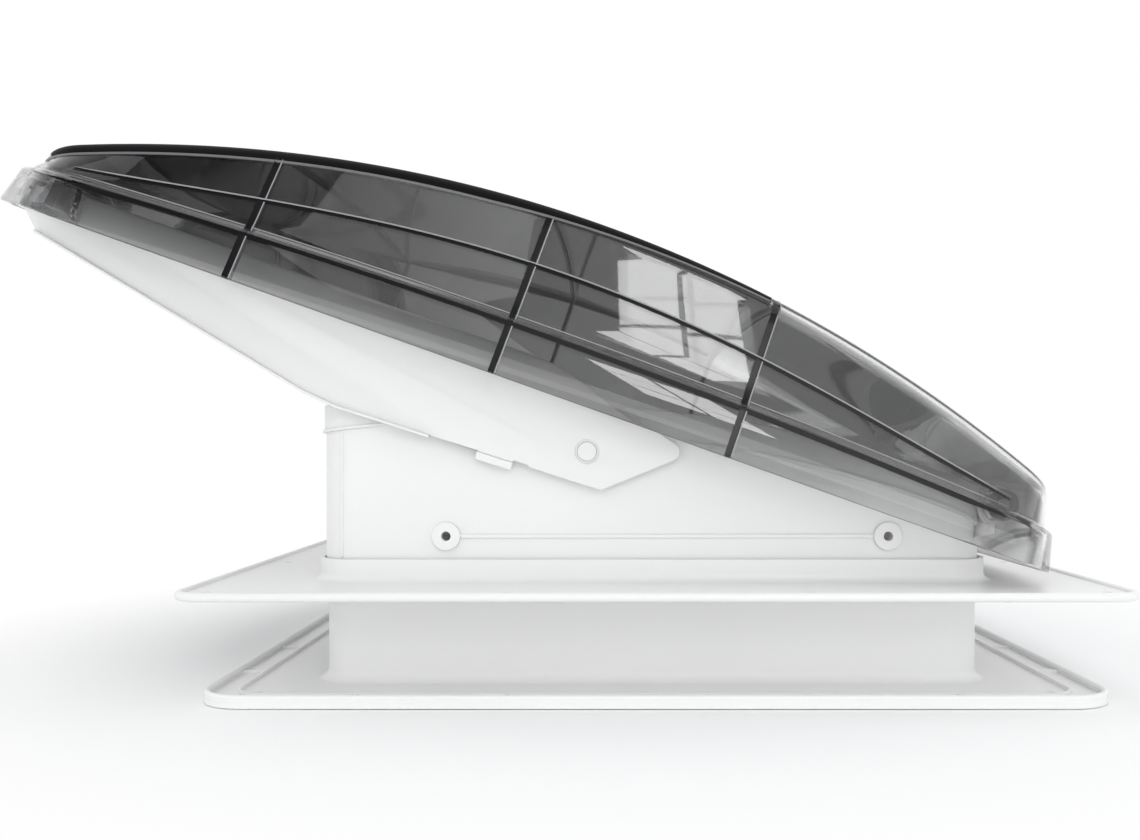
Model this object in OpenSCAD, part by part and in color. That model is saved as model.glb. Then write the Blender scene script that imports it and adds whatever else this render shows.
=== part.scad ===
// Powered roof vent for a caravan: flange, fan housing, tilting smoked lid, rain shield and ceiling trim.
// X runs from the raised rear of the lid to its hinge, Z is up, and the origin is the middle of the
// roof hole on the roof's outer surface. The lid and the shield are drawn open.

/* [Roof opening] */
// Side of the square hole in the roof
opening_w = 355.6; // [345:0.2:375]
// Gap between the ceiling trim's upstand and the edge of the hole
opening_gap = 1.3; // [0.6:0.1:3]
// Roof thickness between the flange and the ceiling trim
roof_t = 46.6; // [40:0.2:60]

/* [Roof flange] */
// Reach of the flange outside its collar
flange_reach = 56.5; // [45:0.5:80]
// Thickness of the flange plate
flange_t = 3.2; // [2.4:0.1:4]
// Radius of the rolled outer edge
flange_edge_r = 2.3; // [2.2:0.1:3]
// Corner radius of the flange
flange_corner_r = 15; // [8:0.5:30]
// Height of the collar above the roof
collar_h = 15.3; // [12:0.1:20]
// Wall of the collar
collar_wall = 2; // [1.5:0.1:3]
// Thickness of the seal between the collar and the housing
seal_t = 1.05; // [0.8:0.05:2]
// Distance of the roof screws from the flange's edge
screw_inset = 15; // [10:0.5:22]
// Distance between the two middle screws of a side
screw_pitch = 150; // [110:1:190]
// Radius of the roof screw holes
screw_hole_r = 2.4; // [1.8:0.1:3]

/* [Fan housing] */
// How far the housing stands out past the upstand below it
shoulder = 1.25; // [0.8:0.05:3]
// Wall of the housing
housing_wall = 2.5; // [2:0.1:3.5]
// Radius of the housing's upright corners
housing_corner_r = 18; // [17:0.5:26]
// Gap from the rim to the closed lid's dome
rim_gap = 17; // [12:0.5:22]
// Height of the band under the rim
rim_band_h = 14; // [8:0.5:18]
// How far the rim band and the upright beads stand out
bead_out = 1; // [0.6:0.1:1.6]
// Diameter of the round bosses on the side walls
boss_d = 15; // [11:0.5:18]
// Diameter of the holes in those bosses
boss_hole_d = 5; // [3:0.1:7]
// How far the bosses stand out
boss_out = 2.6; // [1.5:0.1:3]
// Height of the bosses above the roof
boss_z = 27.5; // [25:0.5:32]
// Distance of the rear boss behind the middle
boss_rear = 110; // [80:1:130]
// Distance of the front boss ahead of the middle
boss_front = 125; // [100:1:140]

/* [Lid] */
// Length of the lid
lid_len = 588; // [576:1:600]
// Gap between the shield's side and the lid's bottom edge
lid_side_gap = 24.5; // [22.5:0.5:32]
// Wall of the lid
lid_wall = 3; // [2.4:0.1:4]
// Height of the skirt under the step
skirt_h = 30; // [26:0.5:34]
// Width of the step above the skirt
step_w = 5; // [3:0.5:6]
// Radius of the step line, seen from the side
step_r = 4200; // [3500:50:6000]
// Height of the dome's side edge at the lid's front end
dome_front_h = 36.9; // [33:0.1:46]
// Radius of the dome's side edge, seen from the side
dome_r = 735; // [700:5:800]
// Distance of the dome's highest point ahead of the lid's middle
dome_shift = 10; // [0:1:20]
// Rise of the dome's crown over its side edges
dome_crown = 6; // [3:0.5:12]
// Corner radius of the lid seen from above
lid_corner_r = 33; // [28:1:42]
// Lean of the skirt
skirt_draft = 8; // [5:0.5:10]
// How far the dome's sides lean in
dome_side_lean = 8; // [5:0.5:9]
// How far the dome's ends lean in
dome_end_lean = 1; // [0.5:0.5:4]
// Depth of the stiffening ribs inside the lid
rib_d = 2.2; // [1.2:0.1:3]
// Width of the stiffening ribs
rib_w = 2.6; // [2:0.1:5]
// Distance of the rear cross rib behind the lid's middle
rib_rear = 160; // [120:1:190]
// Distance of the middle cross rib behind the lid's middle
rib_mid = 17; // [-20:1:40]
// Distance of the front cross rib ahead of the lid's middle
rib_front = 110; // [80:1:150]
// Distance of the hinge from the lid's front end
hinge_from_front = 39; // [34:0.5:44]
// Height of the hinge over the lid's bottom edge
hinge_up = 25; // [23:0.5:27]
// Height of the hinge over the roof
hinge_z = 44.7; // [43:0.1:48]
// Distance of the hinge ahead of the housing
hinge_out = 3.25; // [2.5:0.05:5]
// Slope of the open lid
lid_open = 19.6; // [18:0.1:20]
// Angle through which the lid closes
lid_travel = 17.5; // [16.5:0.1:17.6]
// Radius of the hinge pins
hinge_pin_r = 3; // [2.5:0.1:3.5]

/* [Rain shield] */
// Gap between the housing and the shield
shield_gap = 4.75; // [4.2:0.05:6]
// Thickness of the shield
shield_t = 2.5; // [2:0.1:3]
// Distance of the shield's pivot behind the lid hinge
pivot_back = 216; // [212:0.5:220]
// Height of the shield's pivot over the roof
pivot_z = 72.6; // [71:0.1:74]
// Radius of the cross shaft
shaft_r = 5; // [4:0.1:5.5]
// Width of the turned-out lip on the lower edge
lip_w = 4; // [2.5:0.5:6]
// Radius of the guide pins that lift the lid
guide_pin_r = 2.5; // [2:0.1:3]

/* [Lift drive] */
// Teeth of the worm wheel
wheel_teeth = 24; // [24:1:24]
// Tooth size of the worm and wheel, pitch diameter over teeth
gear_module = 1.75; // [1.6:0.05:1.75]
// Pitch radius of the worm
worm_pitch_r = 8.5; // [8:0.1:9]
// Face width of the worm wheel
wheel_w = 10; // [8:0.5:11]
// Distance of the worm wheel from the vent's middle
wheel_y = 156; // [154:0.5:157]
// Radius of the worm shaft
worm_shaft_r = 4; // [3.5:0.1:4.4]
// Radius of the lift knob
knob_r = 14; // [11:0.5:15]
// Height of the lift knob
knob_h = 10.5; // [8:0.5:11]

/* [Fan] */
// Radius of the fan
fan_r = 152; // [140:0.5:153]
// Gap between the blade tips and the duct
tip_gap = 3; // [2:0.5:5]
// Number of blades
blade_count = 10; // [5:1:12]
// Radius of the hub
hub_r = 44; // [42:0.5:55]
// Chord of a blade at the hub
root_chord = 44; // [30:1:50]
// Chord of a blade at the tip
tip_chord = 62; // [40:1:70]
// Blade angle at the hub
root_pitch = 38; // [25:1:45]
// Blade angle at the tip
tip_pitch = 22; // [12:1:30]
// Radius of the motor
motor_r = 32; // [26:0.5:34]
// Length of the motor can
motor_len = 42; // [34:0.5:46]
// Radius of the motor shaft
motor_shaft_r = 3; // [2.5:0.1:4]

/* [Ceiling trim] */
// Reach of the trim outside its upstand
trim_reach = 52.5; // [45:0.5:70]
// Corner radius of the trim
trim_corner_r = 25; // [20:0.5:32]
// Thickness of the trim
trim_t = 2.5; // [2:0.1:3]
// Height of the turned-up rim over the trim's plate
trim_rim_h = 3.9; // [2.5:0.1:6]
// Wall of the upstand inside the roof hole
upstand_wall = 2.5; // [2:0.1:3]
// Distance of the upstand's top under the roof's outer surface
upstand_drop = 2.5; // [2.2:0.1:6]
// Depth of the recess for the screen, knob and keys
recess_h = 12; // [11.5:0.1:13]
// Radius of the air opening in the trim
screen_r = 147; // [140:0.5:148]
// Spacing of the screen's wires
mesh_pitch = 17; // [16:0.5:30]
// Radius of the keys
key_r = 5; // [4:0.5:6]
// Distance between keys
key_pitch = 16; // [14:0.5:17]

/* [Hidden] */
$fn = 96;

// Colours of the pieces
white = [0.93, 0.93, 0.92];
smoke = [0.09, 0.09, 0.10, 0.6];
black = [0.08, 0.08, 0.08];
steel = [0.62, 0.63, 0.65];
grey = [0.55, 0.56, 0.57];
fan_grey = [0.80, 0.81, 0.82];
board_green = [0.10, 0.32, 0.18];

// Clearances
slide_gap = 0.5;
running_gap = 0.06;
seat_gap = 0.1;
clear_gap = 0.3;
eps = 0.01;

// Widths from the roof hole outwards and inwards
upstand_w = opening_w - 2 * opening_gap;
upstand_in_w = upstand_w - 2 * upstand_wall;
throat_w = upstand_in_w - 2 * slide_gap;
throat_in_w = throat_w - 2 * housing_wall;
housing_w = upstand_w + 2 * shoulder;
housing_in_w = housing_w - 2 * housing_wall;
collar_in_w = housing_w + 2 * (seal_t + 2 * seat_gap);
collar_w = collar_in_w + 2 * collar_wall;
flange_w = collar_w + 2 * flange_reach;
flange_open_w = throat_w + 4 * slide_gap;
trim_w = upstand_w + 2 * trim_reach;
shield_in_w = housing_w + 2 * shield_gap;
shield_w = shield_in_w + 2 * shield_t;
lid_w = shield_w + 2 * lid_side_gap;

// Corner radii that follow the housing's corners
upstand_corner_r = housing_corner_r - shoulder;
upstand_in_r = upstand_corner_r - upstand_wall;
throat_corner_r = upstand_in_r - slide_gap;
throat_in_r = throat_corner_r - housing_wall;
housing_in_r = housing_corner_r - housing_wall;
collar_in_r = housing_corner_r + seal_t + 2 * seat_gap;
collar_corner_r = collar_in_r + collar_wall;

// Heights
shoulder_t = 3;
shoulder_top = flange_t + shoulder_t;
trim_top = -roof_t - trim_rim_h;
trim_bottom = trim_top - trim_t;
recess_bottom = trim_bottom + recess_h;
recess_top = recess_bottom + trim_t;
throat_bottom = recess_top + 2;
duct_plate_t = 2.5;
duct_plate_top = shoulder_top + duct_plate_t;

// Lid hinge and shield pivot, as [x, z]
hinge_x = housing_w / 2 + hinge_out;
pivot_x = hinge_x - pivot_back;

// Centre of the dome's side arc when the lid is closed, and the rim that runs beside it
closed_slope = lid_open - lid_travel;
dome_h = dome_front_h + dome_r - sqrt(dome_r * dome_r - pow(lid_len / 2 - dome_shift, 2));
dome_p = hinge_from_front - lid_len / 2 + dome_shift;
dome_q = dome_h - hinge_up - dome_r;
dome_x = hinge_x + dome_p * cos(closed_slope) + dome_q * sin(closed_slope);
dome_z = hinge_z - dome_p * sin(closed_slope) + dome_q * cos(closed_slope);
rim_r = dome_r - lid_wall - rim_gap;

// Lift drive
wheel_pitch_r = gear_module * wheel_teeth / 2;
worm_x = pivot_x - wheel_pitch_r - worm_pitch_r;
lead = PI * gear_module;
tooth_t = lead / 2 - 0.35;
worm_len = 25;
tooth_slope = 20;

// Fan stack
duct_r = fan_r + tip_gap;
duct_wall = 2;
bracket_z = duct_plate_top + 27;
bracket_t = 4;
foot_r = 178;
motor_bottom = bracket_z - motor_len;
hub_bottom = motor_bottom - 14;
hub_h = 46;

// Shared shapes

// Square with rounded corners, centred
module rounded_square(w, r) {
    square([w, w - 2 * r], center = true);
    square([w - 2 * r, w], center = true);
    for (sx = [-1, 1], sy = [-1, 1])
        translate([sx * (w / 2 - r), sy * (w / 2 - r)]) circle(r);
}

// Upright square wall with rounded corners
module square_wall(w, r, wall, z0, z1) {
    translate([0, 0, z0]) linear_extrude(z1 - z0) difference() {
        rounded_square(w, r);
        rounded_square(w - 2 * wall, r - wall);
    }
}

// Sweeps a profile round a rounded square; the profile's x runs outwards from the corner's centre
module frame_sweep(w, r) {
    for (q = [0:3]) rotate(90 * q) {
        translate([w / 2 - r, w / 2 - r, 0]) rotate_extrude(angle = 90) children();
        translate([w / 2 - r, 0, 0]) rotate([90, 0, 0]) linear_extrude(w - 2 * r, center = true) children();
    }
}

// Cylinder along Y, through y = 0 or from one side to the other
module along_y(r, y0, y1) {
    translate([0, y1, 0]) rotate([90, 0, 0]) cylinder(r = r, h = y1 - y0);
}

// Places children on both sides of the vent, the second one mirrored
module both_sides() {
    for (s = [0, 1]) mirror([0, s, 0]) children();
}

// Pan-head screw pointing down, head on z = 0
module screw(shank_r, len, head_r, head_h) {
    cylinder(r = head_r, h = head_h);
    translate([0, 0, -len]) cylinder(r = shank_r, h = len);
}

// Roof flange

module roof_screw_places() {
    edge = flange_w / 2 - screw_inset;
    for (sx = [-1, 1], sy = [-1, 1]) {
        translate([sx * edge, sy * edge]) children();
        translate([sx * edge, sy * screw_pitch / 2]) children();
        translate([sx * screw_pitch / 2, sy * edge]) children();
    }
}

module roof_flange() {
    edge_lift = 0.05;
    fillet_r = 4;
    open_r = throat_corner_r + 2 * slide_gap;
    color(white) difference() {
        union() {
            linear_extrude(flange_t)
                rounded_square(flange_w - 2 * flange_edge_r, flange_corner_r - flange_edge_r);
            frame_sweep(flange_w, flange_corner_r)
                translate([flange_corner_r - flange_edge_r, flange_edge_r + edge_lift])
                    circle(flange_edge_r);
            linear_extrude(collar_h) rounded_square(collar_w, collar_corner_r);
            frame_sweep(collar_w + 2 * fillet_r, collar_corner_r + fillet_r) difference() {
                translate([collar_corner_r - eps, flange_t - eps]) square(fillet_r + eps);
                translate([collar_corner_r + fillet_r, flange_t + fillet_r]) circle(fillet_r);
            }
        }
        translate([0, 0, -1]) linear_extrude(collar_h + 2) rounded_square(flange_open_w, open_r);
        translate([0, 0, flange_t]) linear_extrude(collar_h) rounded_square(collar_in_w, collar_in_r);
        roof_screw_places() translate([0, 0, -1]) cylinder(r = screw_hole_r, h = flange_t + 2);
    }
}

module collar_seal() {
    seal_top = collar_h - 0.8;
    color(black) square_wall(collar_in_w - 2 * seat_gap, collar_in_r - seat_gap, seal_t, flange_t, seal_top);
}

// Fan housing

// Everything under the rim's arc, lowered by a distance
module under_rim(down) {
    translate([dome_x, 0, dome_z]) along_y(rim_r - down, -lid_w, lid_w);
}

// Upright bead on the rear corner, a distance in from the rear wall
module corner_bead(in) {
    r = housing_corner_r;
    y = housing_w / 2 - r + sqrt(r * r - pow(r - in, 2));
    translate([in - housing_w / 2, -y, collar_h + 1]) cylinder(r = 0.8 * bead_out, h = dome_r);
}

module side_bosses() {
    both_sides() for (x = [-boss_rear, boss_front])
        translate([x, 0, boss_z]) along_y(boss_d / 2, -housing_w / 2 - boss_out, 1 - housing_w / 2);
    both_sides() translate([-boss_rear, -housing_w / 2 - bead_out, boss_z - bead_out])
        cube([boss_rear + boss_front, bead_out + 0.5, 2 * bead_out]);
}

// Band that follows the rim round the sides and the rear, between two distances under it
module rim_band(out, depth, top, bottom) {
    difference() {
        intersection() {
            square_wall(housing_w + 2 * out, housing_corner_r + out, out + depth, shoulder_top, dome_r);
            under_rim(top);
        }
        under_rim(bottom);
        translate([housing_w / 2 - housing_wall / 2, -housing_w, 0]) cube(2 * housing_w);
        translate([pivot_x, 0, pivot_z]) both_sides()
            along_y(bush_flange_r + clear_gap, -housing_w, -housing_w / 2);
    }
}

bush_r = shaft_r + 2.5;
bush_flange_r = bush_r + 2.5;
bush_flange_t = 1;

module fan_housing() {
    ledge_t = 1.6;
    bead_in = 12;
    color(white) difference() {
        union() {
            intersection() {
                union() {
                    square_wall(housing_w, housing_corner_r, housing_wall, shoulder_top, dome_r);
                    both_sides() corner_bead(bead_in);
                }
                under_rim(0);
            }
            rim_band(bead_out, housing_wall * 0.7, 0.4, rim_band_h);
            rim_band(2 * bead_out, housing_wall * 0.4, rim_band_h - ledge_t / 2, rim_band_h + ledge_t / 2);
            side_bosses();
        }
        both_sides() for (x = [-boss_rear, boss_front])
            translate([x, 0, boss_z])
                along_y(boss_hole_d / 2, -housing_w / 2 - boss_out - 1, 1 - housing_in_w / 2);
        translate([pivot_x, 0, pivot_z]) along_y(bush_r + running_gap, -housing_w, housing_w);
        gear_bracket_holes();
        hinge_screw_places() translate([0, 0, -hinge_screw_len - 1])
            cylinder(r = hinge_screw_r, h = hinge_screw_len + 2);
    }
}

// Ring under the housing: a shoulder that carries its walls, and a wall that drops into the roof hole
module housing_throat() {
    color(white) difference() {
        union() {
            translate([0, 0, flange_t]) linear_extrude(shoulder_t) difference() {
                rounded_square(housing_w, housing_corner_r);
                rounded_square(throat_in_w, throat_in_r);
            }
            square_wall(throat_w, throat_corner_r, housing_wall, throat_bottom, flange_t + eps);
        }
        duct_screw_places() translate([0, 0, -duct_screw_len])
            cylinder(r = duct_screw_r, h = duct_screw_len);
    }
}

// Lid hinge brackets on the housing's front wall

bracket_plate_t = 2.5;
ear_t = 4;
ear_r = 9;
ear_y = housing_w / 2 + 2 * bead_out + clear_gap;
hinge_plate_w = 46;
hinge_plate_h = 2 * ear_r;
hinge_screw_r = 1.6;
hinge_screw_len = 8;
hinge_plate_top = hinge_z + ear_r - 4;

module hinge_screw_places() {
    inset = 8;
    both_sides() for (y = [inset, hinge_plate_w - inset])
        translate([housing_w / 2 + bracket_plate_t, housing_corner_r + y - housing_w / 2,
            hinge_plate_top - hinge_plate_h / 2]) rotate([0, 90, 0]) children();
}

module hinge_brackets() {
    plate_end = housing_corner_r + hinge_plate_w - housing_w / 2;
    color(white) difference() {
        both_sides() {
            translate([housing_w / 2, -ear_y - ear_t, hinge_plate_top - hinge_plate_h])
                cube([bracket_plate_t, plate_end + ear_y + ear_t, hinge_plate_h]);
            translate([hinge_x, 0, hinge_z]) along_y(ear_r, -ear_y - ear_t, -ear_y);
        }
        both_sides() translate([hinge_x, 0, hinge_z]) {
            along_y(hinge_pin_r + running_gap / 3, -ear_y - ear_t - 1, 1 - ear_y);
            along_y(pin_head_r + seat_gap, -ear_y, pin_head_t + seat_gap - ear_y);
        }
        hinge_screw_places() translate([0, 0, -bracket_plate_t - 1])
            cylinder(r = hinge_screw_r, h = bracket_plate_t + 2);
    }
}

pin_head_r = hinge_pin_r + 1;
pin_head_t = 1.6;

module hinge_pins() {
    color(steel) both_sides() translate([hinge_x, 0, hinge_z]) {
        along_y(hinge_pin_r, -boss_end, -ear_y + eps);
        along_y(pin_head_r, -ear_y, -ear_y + pin_head_t);
    }
}

module hinge_screws() {
    color(steel) hinge_screw_places() screw(hinge_screw_r - 0.05, hinge_screw_len, 3.2, 1.8);
}

// Cross shaft bearings

module shaft_bushes() {
    inner = housing_in_w / 2 - 4;
    color(black) both_sides() translate([pivot_x, 0, pivot_z]) difference() {
        union() {
            along_y(bush_r, -housing_w / 2, -inner);
            along_y(bush_flange_r, -housing_w / 2 - bush_flange_t, -housing_w / 2);
        }
        along_y(shaft_r + running_gap, -housing_w, 0);
    }
}

// Bracket of the worm shaft, on the inside of one side wall

arm_t = 5;
arm_half = 9.5;
arm_gap = 1;
arm_low = pivot_z - worm_len / 2 - arm_gap;
arm_high = pivot_z + worm_len / 2 + arm_gap;
gear_plate_t = 3;
gear_plate_y = housing_in_w / 2 - gear_plate_t;
gear_plate_half = 18;
gear_screw_r = 1.6;

module gear_screw_places() {
    for (x = [-1, 1], z = [arm_low + 2, arm_high - 2])
        translate([worm_x + x * (gear_plate_half - 3.5), gear_plate_y, z]) rotate([90, 0, 0]) children();
}

module gear_bracket_holes() {
    gear_screw_places() translate([0, 0, -3 * gear_plate_t])
        cylinder(r = gear_screw_r, h = 4 * gear_plate_t);
}

module gear_bracket() {
    color(white) difference() {
        union() {
            translate([worm_x - gear_plate_half, gear_plate_y, arm_low - arm_t])
                cube([2 * gear_plate_half, gear_plate_t, arm_high - arm_low + 2 * arm_t]);
            for (z = [arm_low - arm_t, arm_high]) translate([worm_x, wheel_y, z]) {
                cylinder(r = arm_half, h = arm_t);
                translate([-arm_half, 0, 0]) cube([2 * arm_half, gear_plate_y - wheel_y + eps, arm_t]);
            }
        }
        translate([worm_x, wheel_y, 0]) cylinder(r = worm_shaft_r + running_gap, h = 2 * arm_high);
        translate([pivot_x, 0, pivot_z]) along_y(bush_r + 2, 0, housing_w);
        gear_bracket_holes();
    }
}

module gear_bracket_screws() {
    color(steel) gear_screw_places() screw(gear_screw_r - 0.05, gear_plate_t + housing_wall, 3, 1.6);
}

// Fan duct and motor

flare_r = 7;

module foot_places() {
    for (a = [45:90:315]) rotate(a) translate([foot_r, 0, 0]) children();
}

module motor_screw_places() {
    for (a = [0:120:240]) rotate(a) translate([motor_r * 0.6, 0, 0]) children();
}

module fan_duct() {
    duct_low = throat_bottom + 6;
    duct_high = duct_plate_top + 16;
    plate_w = housing_in_w - 2 * clear_gap;
    color(white) difference() {
        union() {
            translate([0, 0, shoulder_top]) linear_extrude(duct_plate_t) difference() {
                rounded_square(plate_w, housing_in_r - clear_gap);
                circle(duct_r + duct_wall / 2);
            }
            rotate_extrude($fn = 128) {
                translate([duct_r, duct_low]) square([duct_wall, duct_high - flare_r - duct_low]);
                translate([duct_r + flare_r, duct_high - flare_r]) intersection() {
                    difference() {
                        circle(flare_r);
                        circle(flare_r - duct_wall);
                    }
                    translate([-flare_r, 0]) square(flare_r);
                }
            }
            foot_places() translate([0, 0, shoulder_top]) cylinder(r = 7, h = duct_plate_t + 6);
        }
        foot_places() cylinder(r = 1.6, h = 2 * bracket_z);
        translate([worm_x, wheel_y, 0]) cylinder(r = worm_shaft_r + 1, h = bracket_z);
        duct_screw_places() translate([0, 0, -duct_screw_len])
            cylinder(r = duct_screw_r, h = duct_screw_len + 1);
    }
}

duct_screw_r = 1.5;
duct_screw_len = duct_plate_t + 2.5;

// Screws that hold the duct plate down on the housing's shoulder
module duct_screw_places() {
    d = throat_in_w / 2 + 2.2;
    y = housing_w / 4;
    for (a = [0:90:270], s = [-1, 1]) rotate(a) translate([d, s * y, duct_plate_top]) children();
}

module duct_screws() {
    color(steel) duct_screw_places() screw(duct_screw_r - 0.05, duct_screw_len - 0.1, 1.9, 1.4);
}

module motor_bracket() {
    foot_top = duct_plate_top + 6;
    arm_w = 12;
    color(white) difference() {
        union() {
            translate([0, 0, bracket_z]) cylinder(r = motor_r + 4, h = bracket_t);
            for (a = [45:90:315]) rotate(a) {
                translate([motor_r, -arm_w / 2, bracket_z]) cube([foot_r - motor_r, arm_w, bracket_t]);
                translate([motor_r + 3, -bracket_t / 2, bracket_z + bracket_t - eps])
                    cube([foot_r - motor_r - arm_w, bracket_t, bracket_t]);
            }
            foot_places() translate([0, 0, foot_top]) cylinder(r = 7, h = bracket_z + bracket_t - foot_top);
        }
        foot_places() cylinder(r = 1.7, h = 2 * bracket_z);
        motor_screw_places() cylinder(r = 1.7, h = 2 * bracket_z);
        cylinder(r = 8, h = 2 * bracket_z);
    }
}

cap_h = 7;

module motor_can() {
    boss_r = 8;
    color(steel) difference() {
        union() {
            translate([0, 0, motor_bottom + cap_h]) cylinder(r = motor_r, h = motor_len - cap_h);
            translate([0, 0, bracket_z - eps]) cylinder(r = boss_r - seat_gap, h = bracket_t);
        }
        motor_screw_places() translate([0, 0, bracket_z - 6]) cylinder(r = 1.4, h = 7);
        translate([0, 0, motor_bottom]) cylinder(r = motor_shaft_r + clear_gap, h = 24);
    }
}

module motor_cap() {
    color(black) difference() {
        union() {
            translate([0, 0, motor_bottom + 2]) cylinder(r = motor_r, h = cap_h - 2);
            translate([0, 0, motor_bottom]) cylinder(r = 9, h = 2 + eps);
        }
        translate([0, 0, motor_bottom - 1]) cylinder(r = motor_shaft_r + running_gap, h = cap_h + 2);
        for (a = [30:60:330]) rotate(a) translate([motor_r * 0.68, 0, motor_bottom])
            cylinder(r = 3.4, h = cap_h + 1);
    }
}

module motor_screws() {
    color(steel) {
        motor_screw_places() translate([0, 0, bracket_z + bracket_t]) screw(1.35, bracket_t + 5, 3, 1.8);
        foot_places() translate([0, 0, bracket_z + bracket_t])
            screw(1.5, bracket_z + bracket_t - duct_plate_top, 3.2, 2);
    }
}

// Fan rotor

// One point of a blade: radius share f, chord share u and side of the sheet
function blade_point(f, u, side) =
    let (r = hub_r - 1.5 + f * (fan_r - hub_r + 1.5),
        chord = root_chord + f * (tip_chord - root_chord),
        pitch = root_pitch + f * (tip_pitch - root_pitch),
        s = (u - 0.5) * chord,
        n = 0.09 * chord * (1 - pow(2 * u - 1, 2)) + side * (1.3 - 0.5 * f) * (1 - 0.7 * pow(2 * u - 1, 2)),
        turn = s * cos(pitch) + n * sin(pitch),
        sweep = 14 * f * f,
        a = turn / r * 180 / PI + sweep)
    [r * cos(a), r * sin(a), n * cos(pitch) - s * sin(pitch)];

blade_rows = 6;
blade_cols = 6;
blade_ring = 2 * blade_cols + 2;
blade_points = [for (i = [0:blade_rows]) each concat(
    [for (j = [0:blade_cols]) blade_point(i / blade_rows, j / blade_cols, 1)],
    [for (j = [blade_cols:-1:0]) blade_point(i / blade_rows, j / blade_cols, -1)])];
blade_faces = concat(
    [for (i = [0:blade_rows - 1], j = [0:blade_ring - 1])
        let (a = i * blade_ring + j, b = i * blade_ring + (j + 1) % blade_ring)
        each [[a, b, b + blade_ring], [a, b + blade_ring, a + blade_ring]]],
    [for (j = [0:blade_cols - 1]) let (k = blade_ring - 1 - j)
        each [[j + 1, j, k], [j + 1, k, k - 1]]],
    [for (j = [0:blade_cols - 1]) let (k = blade_ring - 1 - j, o = blade_rows * blade_ring)
        each [[o + j, o + j + 1, o + k - 1], [o + j, o + k - 1, o + k]]]);

module fan_rotor() {
    hub_t = 3;
    nose = 8;
    color(fan_grey) difference() {
        union() {
            translate([0, 0, hub_bottom]) rotate_extrude() difference() {
                union() {
                    translate([0, nose]) square([hub_r, hub_h - nose]);
                    square([hub_r - nose, nose + eps]);
                    translate([hub_r - nose, nose]) circle(nose);
                }
                translate([0, hub_t]) square([hub_r - hub_t - nose, hub_h]);
                translate([0, nose]) square([hub_r - hub_t, hub_h]);
            }
            translate([0, 0, hub_bottom + eps]) cylinder(r = 9, h = 10);
            for (b = [0:blade_count - 1]) rotate(b * 360 / blade_count)
                translate([0, 0, hub_bottom + hub_h / 2])
                    polyhedron(blade_points, blade_faces, convexity = 4);
        }
        translate([0, 0, hub_bottom - 1]) cylinder(r = motor_shaft_r + seat_gap / 2, h = 20);
    }
}

nut_h = 5;

module motor_shaft() {
    color(steel) translate([0, 0, hub_bottom - nut_h - 2])
        cylinder(r = motor_shaft_r, h = motor_bottom + 20 - hub_bottom + nut_h + 2);
}

module hub_nut() {
    color(steel) translate([0, 0, hub_bottom - nut_h]) difference() {
        union() {
            cylinder(r = 6, h = nut_h - 1, $fn = 6);
            translate([0, 0, nut_h - 1]) cylinder(r = 8, h = 1);
        }
        translate([0, 0, -1]) cylinder(r = motor_shaft_r + seat_gap / 2, h = nut_h + 2);
    }
}

// Ceiling trim

module trim_screw_places() {
    d = upstand_w / 2 + trim_reach / 2;
    for (sx = [-1, 1], sy = [-1, 1]) translate([sx * d, sy * d]) children();
}

tab_pivot_r = screen_r + 12;
tab_boss_r = 4.5;
tab_gap = 0.2;
screen_flange = 4;
screen_flange_t = 2.2;
tab_z = recess_bottom - screen_flange_t - tab_gap;
tab_t = 2.2;
tab_pin_r = 2;
tab_head_r = 3.4;

module tab_places() {
    for (a = [45:90:315]) rotate(a) translate([tab_pivot_r, 0, 0]) children();
}

// The key panel lies in the recess's corner, clear of the screen
key_panel_w = 4 * key_pitch + 8;
key_panel_h = 28;
key_gap = 1.5;
key_y = throat_in_w / 2 - 2 - key_panel_h / 2;
key_low = key_y - key_panel_h / 2;
key_x = sqrt(max(0, pow(screen_r + screen_flange + key_gap, 2) - pow(key_low, 2))) + key_panel_w / 2;

module key_places() {
    for (i = [0:3]) translate([key_x + (i - 1.5) * key_pitch, key_y, 0]) children();
}

// Cross ribs between the trim's rim and its inner rib
module trim_cross_ribs(inner, len) {
    for (a = [0:90:270], f = [-0.33, -0.165, 0.165, 0.33]) rotate(a)
        translate([inner, f * trim_w, trim_top - eps]) cube([len, 1.6, 1.6]);
}

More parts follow.
